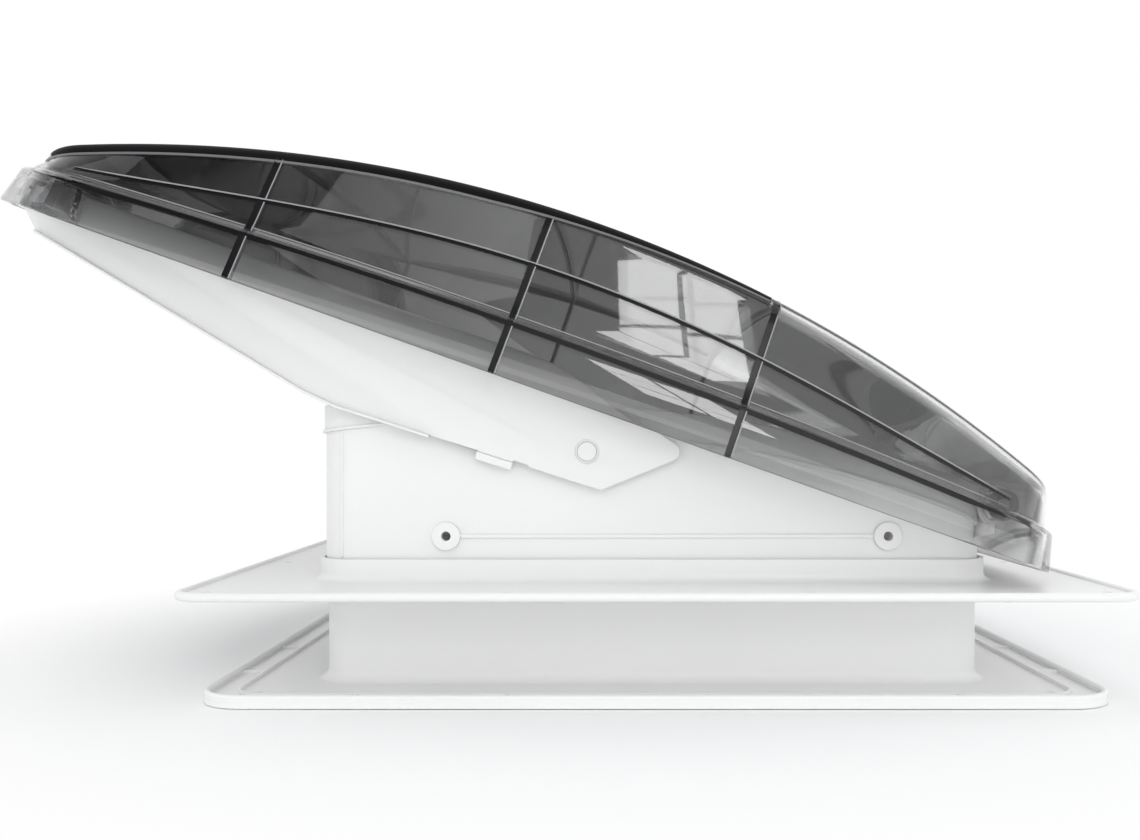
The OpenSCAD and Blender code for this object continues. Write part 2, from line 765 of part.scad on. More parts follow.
module ceiling_trim() {
    rim_t = 2.4;
    bead_r = 1.5;
    bead_z = trim_top + trim_rim_h - bead_r;
    rib_in = 15;
    rib_t = 1.6;
    fillet_r = 6;
    fillet_cut = fillet_r + 0.15;
    seat_w = upstand_w - upstand_wall;
    seat_r = upstand_corner_r - upstand_wall / 2;
    color(white) difference() {
        union() {
            translate([0, 0, trim_bottom]) linear_extrude(trim_t) difference() {
                rounded_square(trim_w, trim_corner_r);
                rounded_square(seat_w, seat_r);
            }
            square_wall(trim_w - 0.2, trim_corner_r - 0.1, rim_t, trim_top - 1, bead_z);
            frame_sweep(trim_w, trim_corner_r)
                translate([trim_corner_r - bead_r, bead_z]) circle(bead_r, $fn = 32);
            square_wall(trim_w - 2 * rib_in, trim_corner_r - rib_in + 6, rib_t, trim_top - 1, trim_top + 2);
            trim_cross_ribs(trim_w / 2 - rib_in - rib_t / 2, rib_in + rib_t / 2 - rim_t / 2);
            square_wall(upstand_w, upstand_corner_r, upstand_wall, trim_bottom, -upstand_drop);
            frame_sweep(upstand_w + 2 * fillet_r, upstand_corner_r + fillet_r) difference() {
                translate([upstand_corner_r - 0.5, trim_top - 0.5]) square(fillet_r + 0.5);
                translate([upstand_corner_r + fillet_r, trim_top + fillet_r]) circle(fillet_cut);
            }
            translate([0, 0, recess_bottom]) linear_extrude(trim_t) rounded_square(seat_w, seat_r);
            tab_places() translate([0, 0, tab_z]) cylinder(r = tab_boss_r, h = recess_bottom - tab_z + 1);
            tab_places() translate([0, 0, tab_z - tab_t - tab_gap])
                cylinder(r = tab_pin_r, h = tab_t + tab_gap + 1);
        }
        translate([0, 0, recess_bottom - 1]) cylinder(r = screen_r, h = trim_t + 2);
        translate([worm_x, wheel_y, recess_bottom - 1])
            cylinder(r = worm_shaft_r + clear_gap, h = trim_t + 2);
        key_places() translate([0, 0, recess_bottom - 1]) cylinder(r = key_r - 1, h = trim_t + 2);
        trim_screw_places() translate([0, 0, trim_bottom - 1]) cylinder(r = screw_hole_r, h = trim_t + 2);
        tab_places() translate([0, 0, tab_z - 2 * tab_t]) cylinder(r = 1, h = 2 * tab_t + 4);
    }
}

// Insect screen and its turn tabs

screen_gap = 0.4;
screen_wall = 2.5;
screen_ledge = 3;
screen_ledge_t = 1.2;
screen_z = recess_bottom - screen_flange_t;
screen_in_r = screen_r - screen_gap - screen_wall;

// Bay that keeps a wide screen clear of the lift knob
module knob_bay() {
    translate([worm_x, wheel_y, recess_bottom - knob_h])
        cylinder(r = knob_r + 2 * clear_gap, h = 2 * knob_h);
}

module screen_frame() {
    bar_w = 4;
    bar_t = screen_ledge_t - 0.4;
    color(white) difference() {
        union() {
            rotate_extrude($fn = 128) {
                translate([screen_in_r, screen_z])
                    square([screen_flange + screen_gap + screen_wall, screen_flange_t]);
                translate([screen_in_r, screen_z]) square([screen_wall, recess_top - screen_z]);
                translate([screen_in_r - screen_ledge, screen_z])
                    square([screen_ledge + 0.5, screen_ledge_t]);
            }
            for (a = [45, 135]) rotate(a)
                translate([screen_ledge / 2 - screen_in_r, -bar_w / 2, screen_z + 0.2])
                    cube([2 * screen_in_r - screen_ledge, bar_w, bar_t]);
        }
        knob_bay();
    }
}

module screen_mesh() {
    wire = 1.4;
    rows = floor(screen_in_r / mesh_pitch);
    color(grey) difference() {
        translate([0, 0, screen_z + screen_ledge_t]) linear_extrude(0.8) {
            intersection() {
                circle(screen_in_r - 0.2);
                for (i = [-rows:rows]) {
                    translate([i * mesh_pitch - wire / 2, -screen_r]) square([wire, 2 * screen_r]);
                    translate([-screen_r, i * mesh_pitch - wire / 2]) square([2 * screen_r, wire]);
                }
            }
            difference() {
                circle(screen_in_r - 0.2);
                circle(screen_in_r - screen_ledge);
            }
        }
        knob_bay();
    }
}

module screen_tab(place) {
    len = 13;
    tab_r = 4.5;
    color(white) rotate(45 + 90 * (place - 1)) translate([tab_pivot_r, 0, tab_z - tab_t]) difference() {
        union() {
            cylinder(r = tab_r, h = tab_t);
            translate([-len, -tab_r, 0]) cube([len, 2 * tab_r, tab_t]);
            translate([4 - len, -1, -1.6]) cube([len - 4 - tab_head_r - clear_gap, 2, 1.6 + eps]);
        }
        translate([0, 0, -1]) cylinder(r = tab_pin_r + running_gap, h = tab_t + 2);
    }
}

module tab_screws() {
    color(steel) tab_places() translate([0, 0, tab_z - tab_t - tab_gap]) rotate([180, 0, 0])
        screw(0.9, 5, tab_head_r, 1.6);
}

// Keys and control board

key_seat = 1.2;
key_stem_r = key_r - 1.6;
board_z = recess_top + 2.2;

module key_panel() {
    panel_t = 2;
    color(black) difference() {
        translate([key_x - key_panel_w / 2, key_y - key_panel_h / 2, recess_bottom - panel_t])
            cube([key_panel_w, key_panel_h, panel_t]);
        key_places() translate([0, 0, recess_bottom - 2 * panel_t])
            cylinder(r = key_r + clear_gap, h = 3 * panel_t);
    }
}

module key(place) {
    cap_t = 2.4;
    color(grey) translate([key_x + (place - 2.5) * key_pitch, key_y, recess_bottom - key_seat]) {
        translate([0, 0, -cap_t]) cylinder(r = key_r, h = cap_t);
        cylinder(r = key_stem_r, h = key_seat + trim_t + 1);
    }
}

module control_board() {
    board_w = key_panel_w - 4;
    board_h = key_panel_h - 2;
    post_r = 2.2;
    color(board_green) {
        translate([key_x - board_w / 2, key_y - board_h / 2, board_z]) cube([board_w, board_h, 1.6]);
        for (sx = [-1, 1], sy = [-1, 1])
            translate([key_x + sx * (board_w / 2 - 3), key_y + sy * (board_h / 2 - 3), recess_top])
                cylinder(r = post_r, h = board_z - recess_top + eps);
        translate([key_x - 26, key_y - 8, board_z + 1.6 - eps]) cube([16, 12, 9]);
        translate([key_x + 8, key_y - 9, board_z + 1.6 - eps]) cube([20, 7, 8]);
        for (x = [-2, 4]) translate([key_x + x, key_y + 7, board_z + 1.6 - eps]) cylinder(r = 2.4, h = 7);
    }
}

// Lid

// Places children given in the lid's own frame: origin at the hinge, level when the lid is level
module lid_frame() {
    translate([hinge_x, 0, hinge_z]) rotate([0, lid_open, 0]) children();
}

// The same with the origin in the middle of the lid, level with its bottom edge
module lid_middle() {
    lid_frame() translate([hinge_from_front - lid_len / 2, 0, -hinge_up]) children();
}

// A lid point, given from the middle of its bottom edge, in the open lid's place as [x, z]
function lid_at(c, t) =
    let (p = c + hinge_from_front - lid_len / 2, q = t - hinge_up)
    [hinge_x + p * cos(lid_open) + q * sin(lid_open), hinge_z - p * sin(lid_open) + q * cos(lid_open)];

function blend(a, b, f) = a + (b - a) * f;

function step_t(c) = skirt_h - c * c / (2 * step_r);

function dome_edge(c) = dome_h - dome_r + sqrt(dome_r * dome_r - pow(c - dome_shift, 2));

// Height of a level: 0 bottom edge, 1 step, 2 dome's side edge
function level_t(g, c) = g <= 1 ? g * step_t(c) : blend(step_t(c), dome_edge(c), g - 1);

skirt_in = skirt_h * tan(skirt_draft);
step_in = skirt_in + step_w;

// Half width of the lid's inner side above the step
function inner_half(c, t) =
    lid_w / 2 - lid_wall - step_in - dome_side_lean * (t - step_t(c)) / (dome_edge(c) - step_t(c));

// Stations along a side as [place, on a cross rib]
rib_edge = 0.3;
bay_steps = 5;
side_end = lid_len / 2 - lid_corner_r - 16;
bay_ends = [-side_end, -rib_rear, -rib_mid, rib_front, side_end];
bays = len(bay_ends) - 1;
stations = [for (b = [0:bays - 1]) each concat(
    [for (i = [b == 0 ? 0 : 1 : b == bays - 1 ? bay_steps : bay_steps - 1])
        [blend(bay_ends[b], bay_ends[b + 1], i / bay_steps), 0]],
    b == bays - 1 ? [] : [for (e = [[-1, 1, 0], [-1, 0, 1], [1, 0, 1], [1, 1, 0]])
        [bay_ends[b + 1] + e[0] * (rib_w / 2 + e[1] * rib_edge), e[2]]])];

// One side of a ring as [place, half width, on a cross rib]
corner_step = 22.5;
function half_ring(w, l, r, side_rib) = concat(
    [for (a = [0:corner_step:90]) [r - l - r * cos(a), w - r + r * sin(a), 0]],
    [for (s = stations) [s[0], w - max(side_rib, rib_d * s[1] * (side_rib >= 0 ? 1 : 0)), s[1]]],
    [for (a = [90:-corner_step:0]) [l - r + r * cos(a), w - r + r * sin(a), 0]]);

// A ring is [side inset, end inset, corner radius, level, rise, rib]; rib is -1 outside and 0 or more inside
across = 6;
function ring_half(ring) = half_ring(lid_w / 2 - ring[0], lid_len / 2 - ring[1], ring[2], ring[5]);
function ring_t(ring, p) = level_t(ring[3], p[0]) + ring[4];
function ring_points(ring, drop) =
    let (h = ring_half(ring), m = len(h), l = lid_len / 2 - ring[1], flat = lid_w / 2 - ring[0] - ring[2])
    concat(
        [for (p = h) [p[0], -p[1], ring_t(ring, p) - drop * p[2]]],
        [for (i = [1:across - 1]) [l, flat * (2 * i / across - 1), ring_t(ring, [l])]],
        [for (k = [m - 1:-1:0]) [h[k][0], h[k][1], ring_t(ring, h[k]) - drop * h[k][2]]],
        [for (i = [across - 1:-1:1]) [-l, flat * (2 * i / across - 1), ring_t(ring, [-l])]]);

// Inner points of a roof that closes a ring, crowned across the lid
function roof_points(ring, drop) =
    let (h = ring_half(ring), l = lid_len / 2 - ring[1])
    [for (j = [1:len(h) - 2], i = [1:across - 1])
        let (p = h[j], f = 2 * i / across - 1)
        [p[0], f * p[1], ring_t(ring, p) + dome_crown * (1 - f * f) * (1 - pow(p[0] / l, 4)) - drop * p[2]]];

edge_r = 8;
edge_bend = edge_r * (1 - cos(45));
end_edge = lid_wall + 1;
end_bend = end_edge * (1 - cos(45));
top_side = step_in + dome_side_lean;
top_end = step_in + dome_end_lean;
outer_rings = [
    [0, 0, lid_corner_r, 0, 0, -1],
    [skirt_in, skirt_in, lid_corner_r - 3, 1, 0, -1],
    [step_in, step_in, lid_corner_r - 6, 1, 1, -1],
    [top_side, top_end, lid_corner_r - 9, 2, -edge_r, -1],
    [top_side + edge_bend, top_end + end_bend, lid_corner_r - 9 - edge_bend, 2, -edge_bend, -1],
    [top_side + edge_r, top_end + end_edge, lid_corner_r - 9 - edge_r, 2, 0, -1]];
rib_side = lid_wall + blend(step_in, top_side, 0.5);
rib_end = lid_wall + blend(step_in, top_end, 0.5);
inner_rings = [
    [top_side + edge_r, top_end + end_edge, lid_corner_r - 9 - edge_r, 2, -lid_wall, 0],
    [top_side + lid_wall + edge_bend / 2, top_end + (lid_wall + end_edge) / 2, lid_corner_r - 14, 2,
        -lid_wall - edge_bend / 2, 0],
    [top_side + lid_wall, top_end + lid_wall, lid_corner_r - 12, 2, -edge_r, 0],
    [rib_side, rib_end, lid_corner_r - 11, 1.5, rib_w / 2 + rib_edge, 0],
    [rib_side, rib_end, lid_corner_r - 11, 1.5, rib_w / 2, rib_d],
    [rib_side, rib_end, lid_corner_r - 11, 1.5, -rib_w / 2, rib_d],
    [rib_side, rib_end, lid_corner_r - 11, 1.5, -rib_w / 2 - rib_edge, 0],
    [step_in + lid_wall, step_in + lid_wall, lid_corner_r - 9, 1, 1 - lid_wall, 0],
    [skirt_in + lid_wall, skirt_in + lid_wall, lid_corner_r - 6, 1, -lid_wall, 0],
    [lid_wall, lid_wall, lid_corner_r - 3, 0, 0, 0]];
lid_rings = concat(inner_rings, outer_rings);
half_n = len(ring_half(lid_rings[0]));
ring_n = 2 * half_n + 2 * (across - 1);
roof_n = (half_n - 2) * (across - 1);
wall_n = len(lid_rings) * ring_n;

// Index of a roof point: station j along the lid, i across it
function roof_index(j, i, ring_base, inner_base) =
    i == 0 ? ring_base + j
    : i == across ? ring_base + half_n + across - 1 + half_n - 1 - j
    : j == half_n - 1 ? ring_base + half_n + i - 1
    : j == 0 ? ring_base + ring_n - i
    : inner_base + (j - 1) * (across - 1) + i - 1;
function roof_faces(ring_base, inner_base, up) = [for (j = [0:half_n - 2], i = [0:across - 1])
    let (a = roof_index(j, i, ring_base, inner_base), b = roof_index(j, i + 1, ring_base, inner_base),
        c = roof_index(j + 1, i + 1, ring_base, inner_base), d = roof_index(j + 1, i, ring_base, inner_base))
    each up ? [[a, b, c], [a, c, d]] : [[a, c, b], [a, d, c]]];

lid_points = concat(
    [for (k = [0:len(lid_rings) - 1]) each ring_points(lid_rings[k], k == 0 ? rib_d : 0)],
    roof_points(inner_rings[0], rib_d),
    roof_points(outer_rings[len(outer_rings) - 1], 0));
lid_faces = concat(
    [for (k = [0:len(lid_rings) - 2], j = [0:ring_n - 1])
        let (a = k * ring_n + j, b = k * ring_n + (j + 1) % ring_n)
        each [[a, a + ring_n, b + ring_n], [a, b + ring_n, b]]],
    roof_faces(0, wall_n, false),
    roof_faces(wall_n - ring_n, wall_n + roof_n, true));

module lid_shell() {
    color(smoke) lid_middle() polyhedron(lid_points, lid_faces, convexity = 8);
}

// Lid hinge bosses, and the guides that the shield's pins slide in

hinge_boss_r = 8;
boss_start = ear_y + ear_t + clear_gap;
// The boss's front edge lies where the lid's inner corner begins to turn
boss_ahead = lid_len / 2 - hinge_from_front + hinge_boss_r;
boss_corner_r = lid_corner_r - 11;
boss_turn = max(0, boss_ahead - lid_len / 2 + rib_end + boss_corner_r);
corner_loss = boss_corner_r - sqrt(pow(boss_corner_r, 2) - pow(boss_turn, 2));
boss_end = inner_half(boss_ahead, hinge_up + hinge_boss_r) - corner_loss - 3 * clear_gap;

module hinge_bosses() {
    color(smoke) lid_frame() both_sides() difference() {
        along_y(hinge_boss_r, -boss_end, -boss_start);
        along_y(hinge_pin_r + running_gap, -boss_end - 1, 0);
    }
}

guide_c = 24 - lid_len / 2;
guide_t = 11;
guide_slide = 7;
guide_wall = 3;
guide_start = shield_w / 2 + 1.6;

// Height of the guide's plate, under the lid's step
function guide_top(c) = step_t(c) - lid_wall - clear_gap;

// Slotted plate beside the shield, on a foot that stands on the skirt
module lid_guides() {
    low = 5;
    foot = 10;
    rear = guide_c - 12;
    front = guide_c + 20;
    slot_r = guide_pin_r + 1;
    face = lid_w / 2 - lid_wall - clear_gap;
    lean = skirt_in / (step_t(front - foot) - lid_wall);
    high = guide_top(front - foot) - clear_gap;
    color(smoke) lid_middle() both_sides() difference() {
        union() {
            translate([0, -guide_start, 0]) rotate([90, 0, 0]) linear_extrude(guide_wall)
                polygon([[rear, low], [front, low], [front, guide_top(front)], [rear, guide_top(rear)]]);
            translate([front, 0, 0]) rotate([90, 0, -90]) linear_extrude(foot)
                polygon([[guide_start, low], [face - low * lean, low],
                    [face - high * lean, high], [guide_start, high]]);
        }
        translate([guide_c, 0, guide_t + 0.5]) {
            for (x = [0, -guide_slide]) translate([x, 0, 0])
                along_y(slot_r, -guide_start - guide_wall - 1, 1 - guide_start);
            translate([-guide_slide, -guide_start - guide_wall - 1, -slot_r])
                cube([guide_slide, guide_wall + 2, 2 * slot_r]);
        }
    }
}

// Rain shield, drawn from the pivot as [x, z]

shield_top = 18;
tip_r = 5;
hub_out_r = 9;
shield_tip = [pivot_x + 44, pivot_z - 0.2];
shield_low = [pivot_x + 7.4, pivot_z - 20.6];
shield_bend = [pivot_x - 133, pivot_z + 24.4];
shield_knee = [pivot_x - 149, pivot_z + 32];
// Rear edge of the shield from its lower corner up, moved forward by a distance
function rear_line(ahead) = [for (p = [[24, -9], [14, 0], [18, 12], [22, shield_top]])
    lid_at(p[0] + ahead - lid_len / 2, p[1])];
shield_rear = rear_line(0)[0];
shield_brow = [pivot_x + 32, pivot_z + 13.9];
shield_outline = concat(
    [shield_tip + [2.2, -4.5], shield_low, shield_bend, shield_knee], rear_line(0),
    [lid_at(15, shield_top), shield_brow, shield_tip + [2.8, 4.1]]);

// Point on the lower front edge at a distance behind the pivot
function low_edge(back) =
    blend(shield_low, shield_bend, (shield_low[0] - pivot_x + back) / (shield_low[0] - shield_bend[0]));

// Band beside a line, between two distances under it
function band(a, b, d0, d1) =
    let (u = (b - a) / norm(b - a), n = [-u[1], u[0]])
    [a + n * d0, b + n * d0, b + n * d1, a + n * d1];

// Band along the lower edge from the rear to a distance behind the pivot, turned out as a lip
function lip_line(up, end) = [for (p = [shield_rear, shield_knee, shield_bend, low_edge(end)]) p + [0, up]];

module shield_sheet(points, y0, y1) {
    translate([0, y1, 0]) rotate([90, 0, 0]) linear_extrude(y1 - y0) polygon(points);
}

module rain_shield() {
    lip_up = 0.4;
    lip_down = 1.2;
    lip_end = 83;
    tab_rear = 58;
    tab_front = 39;
    tab_h = 4.5;
    notch_w = 8;
    notch_h = 2;
    sink = 0.6;
    out = shield_w / 2;
    in = shield_in_w / 2;
    rear_in = rear_line(shield_t);
    lip_top = lip_line(lip_up, lip_end);
    lip_low = lip_line(-lip_down, lip_end);
    color(white) difference() {
        union() {
            both_sides() {
                shield_sheet(shield_outline, -out, -in);
                translate([shield_tip[0], 0, shield_tip[1]]) along_y(tip_r, -out, -in);
                shield_sheet(concat(lip_top, [for (k = [3:-1:0]) lip_low[k]]), -out - lip_w, -in - sink);
                shield_sheet(band(low_edge(tab_rear), low_edge(tab_front), -sink, tab_h),
                    0.2 - out, -in - 0.2);
                translate([pivot_x, 0, pivot_z])
                    along_y(hub_out_r, -in - sink, -housing_w / 2 - bush_flange_t - clear_gap);
            }
            shield_sheet(concat(rear_line(0), [for (k = [3:-1:0]) rear_in[k]]), -in - sink, in + sink);
        }
        both_sides() {
            shield_sheet(band(low_edge(tab_front), low_edge(tab_front - notch_w), -notch_h, 1),
                -out - 1, 1 - in);
            translate([pivot_x, 0, pivot_z]) {
                along_y(shaft_r + seat_gap / 2, -out - 1, 0);
                along_y(shaft_r + 1.3, -out - 1, 1.2 - out);
            }
            translate([guide_place[0], 0, guide_place[1]]) along_y(guide_pin_r + seat_gap / 2, -out - 1, 0);
        }
    }
}

guide_place = lid_at(guide_c, guide_t);

module guide_pins() {
    collar_t = 1;
    color(steel) both_sides() translate([guide_place[0], 0, guide_place[1]]) {
        along_y(guide_pin_r, 0.5 - guide_start - guide_wall, -shield_in_w / 2);
        along_y(guide_pin_r + 1.5, -shield_w / 2 - collar_t, -shield_w / 2);
    }
}

module cross_shaft() {
    end = shield_w / 2 - 0.6;
    color(white) translate([pivot_x, 0, pivot_z]) along_y(shaft_r, -end, end);
}

// Worm wheel, worm and knob

// One tooth of the wheel as points at its root and tip
tooth_root_r = wheel_pitch_r - 1.1 * gear_module;
tooth_tip_r = wheel_pitch_r + 0.9 * gear_module;
function tooth_half(r) = (tooth_t / 2 - (r - wheel_pitch_r) * tan(tooth_slope)) / r * 180 / PI;
wheel_outline = [for (i = [0:wheel_teeth - 1]) let (mid = (i + 0.5) * 360 / wheel_teeth)
    each [for (p = [[tooth_root_r, -1], [tooth_tip_r, -1], [tooth_tip_r, 1], [tooth_root_r, 1]])
        p[0] * [cos(mid + p[1] * tooth_half(p[0])), sin(mid + p[1] * tooth_half(p[0]))]]];
wheel_twist = lead / (2 * PI * worm_pitch_r) * wheel_w / wheel_pitch_r * 180 / PI;

module worm_wheel() {
    hub_len = wheel_w + 6;
    color(black) translate([pivot_x, wheel_y, pivot_z]) rotate([90, 0, 0]) difference() {
        union() {
            rotate(-wheel_twist / 2) linear_extrude(wheel_w, twist = -wheel_twist, slices = 2, center = true)
                polygon(wheel_outline);
            cylinder(r = shaft_r + 4, h = hub_len, center = true);
        }
        cylinder(r = shaft_r + seat_gap / 2, h = 2 * hub_len, center = true);
        for (a = [0:60:300]) rotate(a) translate([wheel_pitch_r * 0.64, 0, 0])
            cylinder(r = 3, h = 2 * wheel_w, center = true);
    }
}

// Thread of the worm: a trapezium swept up the shaft
thread_turn = 18;
thread_root_r = worm_pitch_r - 1.2 * gear_module;
thread_tip_r = worm_pitch_r + 0.85 * gear_module;
thread_n = floor((worm_len - lead) / lead * 360 / thread_turn);
function thread_half(r) = tooth_t / 2 - (r - worm_pitch_r) * tan(tooth_slope);
thread_points = [for (k = [0:thread_n]) let (a = (k - thread_n / 2) * thread_turn, z = lead * a / 360)
    each [for (p = [[thread_root_r, -1], [thread_tip_r, -1], [thread_tip_r, 1], [thread_root_r, 1]])
        [p[0] * cos(a), p[0] * sin(a), z + p[1] * thread_half(p[0])]]];
thread_faces = concat(
    [[3, 2, 1], [3, 1, 0]],
    [for (k = [0:thread_n - 1], j = [0:3]) let (a = 4 * k + j, b = 4 * k + (j + 1) % 4)
        each [[a, b, b + 4], [a, b + 4, a + 4]]],
    [for (p = [[0, 1, 2], [0, 2, 3]]) [for (j = p) 4 * thread_n + j]]);

knob_top = recess_bottom - 0.4;
shaft_low = knob_top - knob_h / 2;

module worm_shaft() {
    top = arm_high + arm_t + 2;
    color(steel) translate([worm_x, wheel_y, 0]) {
        translate([0, 0, shaft_low]) cylinder(r = worm_shaft_r, h = top - shaft_low);
        translate([0, 0, pivot_z - worm_len / 2]) cylinder(r = thread_root_r + 0.2, h = worm_len);
        translate([0, 0, pivot_z]) polyhedron(thread_points, thread_faces, convexity = 8);
    }
}

module lift_knob() {
    flutes = 10;
    flute_r = 2.4;
    color(white) translate([worm_x, wheel_y, knob_top - knob_h]) difference() {
        cylinder(r = knob_r, h = knob_h);
        for (a = [0:360 / flutes:359]) rotate(a) translate([knob_r + 1.2, 0, -1])
            cylinder(r = flute_r, h = knob_h);
        translate([0, 0, knob_h / 2]) cylinder(r = worm_shaft_r + seat_gap / 2, h = knob_h);
        translate([0, 0, -1]) cylinder(r = 1.6, h = knob_h);
        translate([0, 0, -1]) cylinder(r = 4, h = 3);
    }
}

module knob_screw() {
    color(steel) translate([worm_x, wheel_y, knob_top - knob_h + 2]) rotate([180, 0, 0])
        screw(1.5, knob_h / 2 - 2, 3.2, 1.6);
}

roof_flange();
collar_seal();
fan_housing();
housing_throat();
hinge_brackets();
hinge_pins();
hinge_screws();
shaft_bushes();
gear_bracket();
gear_bracket_screws();
fan_duct();
duct_screws();
motor_bracket();
motor_can();
motor_cap();
motor_screws();
ceiling_trim();
screen_frame();
screen_mesh();
screen_tab(1);  // screen_tab_1
screen_tab(2);  // screen_tab_2
screen_tab(3);  // screen_tab_3
screen_tab(4);  // screen_tab_4
tab_screws();
key_panel();
key(1);  // key_1
key(2);  // key_2
key(3);  // key_3
key(4);  // key_4
control_board();
lid_shell();
hinge_bosses();
lid_guides();
rain_shield();
guide_pins();
cross_shaft();
worm_wheel();
worm_shaft();
lift_knob();
knob_screw();
fan_rotor();
motor_shaft();
hub_nut();
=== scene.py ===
"""Dresses the powered roof vent: a smoked lid over white mouldings, on a pale studio floor."""

import logging
import math
from dataclasses import dataclass
from enum import Enum
from functools import cache
from itertools import accumulate
from typing import Callable, Sequence

import bmesh
import bpy
import numpy as np
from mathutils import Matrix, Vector


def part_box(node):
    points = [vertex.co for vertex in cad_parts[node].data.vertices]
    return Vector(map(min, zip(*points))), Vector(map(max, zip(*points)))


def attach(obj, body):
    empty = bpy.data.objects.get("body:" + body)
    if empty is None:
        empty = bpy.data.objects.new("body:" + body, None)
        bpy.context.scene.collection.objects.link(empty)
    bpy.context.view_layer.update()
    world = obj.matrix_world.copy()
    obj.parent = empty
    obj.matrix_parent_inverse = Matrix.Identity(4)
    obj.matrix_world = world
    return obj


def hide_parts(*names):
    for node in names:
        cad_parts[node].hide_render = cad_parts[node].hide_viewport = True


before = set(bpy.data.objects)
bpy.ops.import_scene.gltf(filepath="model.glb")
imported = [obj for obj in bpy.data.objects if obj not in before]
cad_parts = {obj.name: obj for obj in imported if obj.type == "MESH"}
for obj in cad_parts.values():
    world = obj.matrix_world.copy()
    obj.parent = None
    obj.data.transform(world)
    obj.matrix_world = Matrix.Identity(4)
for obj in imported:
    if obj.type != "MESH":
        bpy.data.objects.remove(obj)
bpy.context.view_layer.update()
LOG = logging.getLogger("roof_vent")
MM = 0.001
BAR_SHARP = 30.0
PAINTED_LIGHT_SHARE = "painted_light_share"
SIDES = (("near", -1), ("far", 1))
Pair = tuple[float, float]
Point = tuple[float, float, float]
Face = list[int]
Sockets = dict[str | int, object]


class Body(Enum):
    """Bodies of the vent that pieces ride on."""

    LID = "lid"
    SHIELD = "shield"
    FAN = "fan"


class Socket(Enum):
    """Kinds of socket that the shared node groups have."""

    VALUE = "NodeSocketFloat"
    COLOUR = "NodeSocketColor"
    VECTOR = "NodeSocketVector"


# Node trees


class Graph:
    """A shader node tree that nodes are added to and joined in."""

    def __init__(self, tree: bpy.types.NodeTree) -> None:
        """Keeps the tree."""
        self.tree = tree

    def feed(self, node: bpy.types.Node, sockets: Sockets) -> None:
        """Gives a node's inputs their values or the outputs that drive them.

        Args:
            node: The node.
            sockets: A value or another node's output for each input.
        """
        for key, given in sockets.items():
            if isinstance(given, bpy.types.NodeSocket):
                self.tree.links.new(given, node.inputs[key])
            else:
                node.inputs[key].default_value = given

    def add(self, kind: str, sockets: Sockets | None = None, **options: object) -> bpy.types.Node:
        """Adds a node.

        Args:
            kind: Blender's type name of the node.
            sockets: A value or another node's output for each input.
            options: Properties of the node.

        Returns:
            The new node.
        """
        made = self.tree.nodes.new(kind)
        for name, value in options.items():
            setattr(made, name, value)
        self.feed(made, sockets or {})
        return made

    def math(self, operation: str, *terms: object, clamp: bool = False) -> bpy.types.NodeSocket:
        """Adds a Math node with values or outputs as its terms, and returns its output."""
        made = self.add("ShaderNodeMath", dict(enumerate(terms)), operation=operation, use_clamp=clamp)
        return made.outputs[0]


class EffectGroup(Graph):
    """A node group with named sockets, built once and placed in many materials."""

    def __init__(self, name: str, inputs: dict[str, float | tuple[float, ...]],
                 outputs: dict[str, Socket]) -> None:
        """Makes the group and its sockets.

        Args:
            name: Name of the group.
            inputs: Default for each input's name, which also gives its kind.
            outputs: Socket kind for each output's name.
        """
        super().__init__(bpy.data.node_groups.new(name, "ShaderNodeTree"))
        for label, default in inputs.items():
            size = len(default) if isinstance(default, tuple) else 1
            kind = {1: Socket.VALUE, 3: Socket.VECTOR, 4: Socket.COLOUR}[size]
            socket = self.tree.interface.new_socket(label, in_out="INPUT", socket_type=kind.value)
            socket.default_value = default
        for label, kind in outputs.items():
            self.tree.interface.new_socket(label, in_out="OUTPUT", socket_type=kind.value)
        self.given = self.tree.nodes.new("NodeGroupInput").outputs
        self.sink = self.tree.nodes.new("NodeGroupOutput")


class MaterialGraph(Graph):
    """The node tree of a new material."""

    def __init__(self, name: str) -> None:
        """Makes the material.

        Args:
            name: Name of the material.
        """
        self.material = bpy.data.materials.new(name)
        self.material.use_nodes = True
        super().__init__(self.material.node_tree)
        self.bsdf = self.tree.nodes["Principled BSDF"]
        self.output = self.tree.nodes["Material Output"]

    def place(self, group: EffectGroup, sockets: Sockets) -> bpy.types.NodeOutputs:
        """Places a shared group and returns its outputs."""
        return self.add("ShaderNodeGroup", sockets, node_tree=group.tree).outputs


# Shared effects


def moulded_grain() -> EffectGroup:
    """Builds the fine surface of moulded plastic: spark-eroded grain and patches of gloss.

    Returns:
        The group, with outputs Roughness and Normal.
    """
    group = EffectGroup("moulded_grain", {
        "Scale": 900.0, "Depth": 0.00005, "Rough": 0.3, "Spread": 0.1, "Normal": (0.0, 0.0, 0.0),
    }, {"Roughness": Socket.VALUE, "Normal": Socket.VECTOR})
    given = group.given
    place = group.add("ShaderNodeTexCoord").outputs["Object"]
    fine = group.add("ShaderNodeTexNoise", {"Vector": place, "Scale": given["Scale"], "Detail": 3.0})
    bump = group.add("ShaderNodeBump", {
        "Strength": 0.6, "Distance": given["Depth"], "Height": fine.outputs["Fac"],
        "Normal": given["Normal"]})
    patches = group.add("ShaderNodeTexNoise", {"Vector": place, "Scale": 14.0, "Detail": 4.0})
    centred = group.math("SUBTRACT", patches.outputs["Fac"], 0.5)
    rough = group.math("MULTIPLY_ADD", centred, given["Spread"], given["Rough"])
    group.feed(group.sink, {"Roughness": rough, "Normal": bump.outputs["Normal"]})
    return group


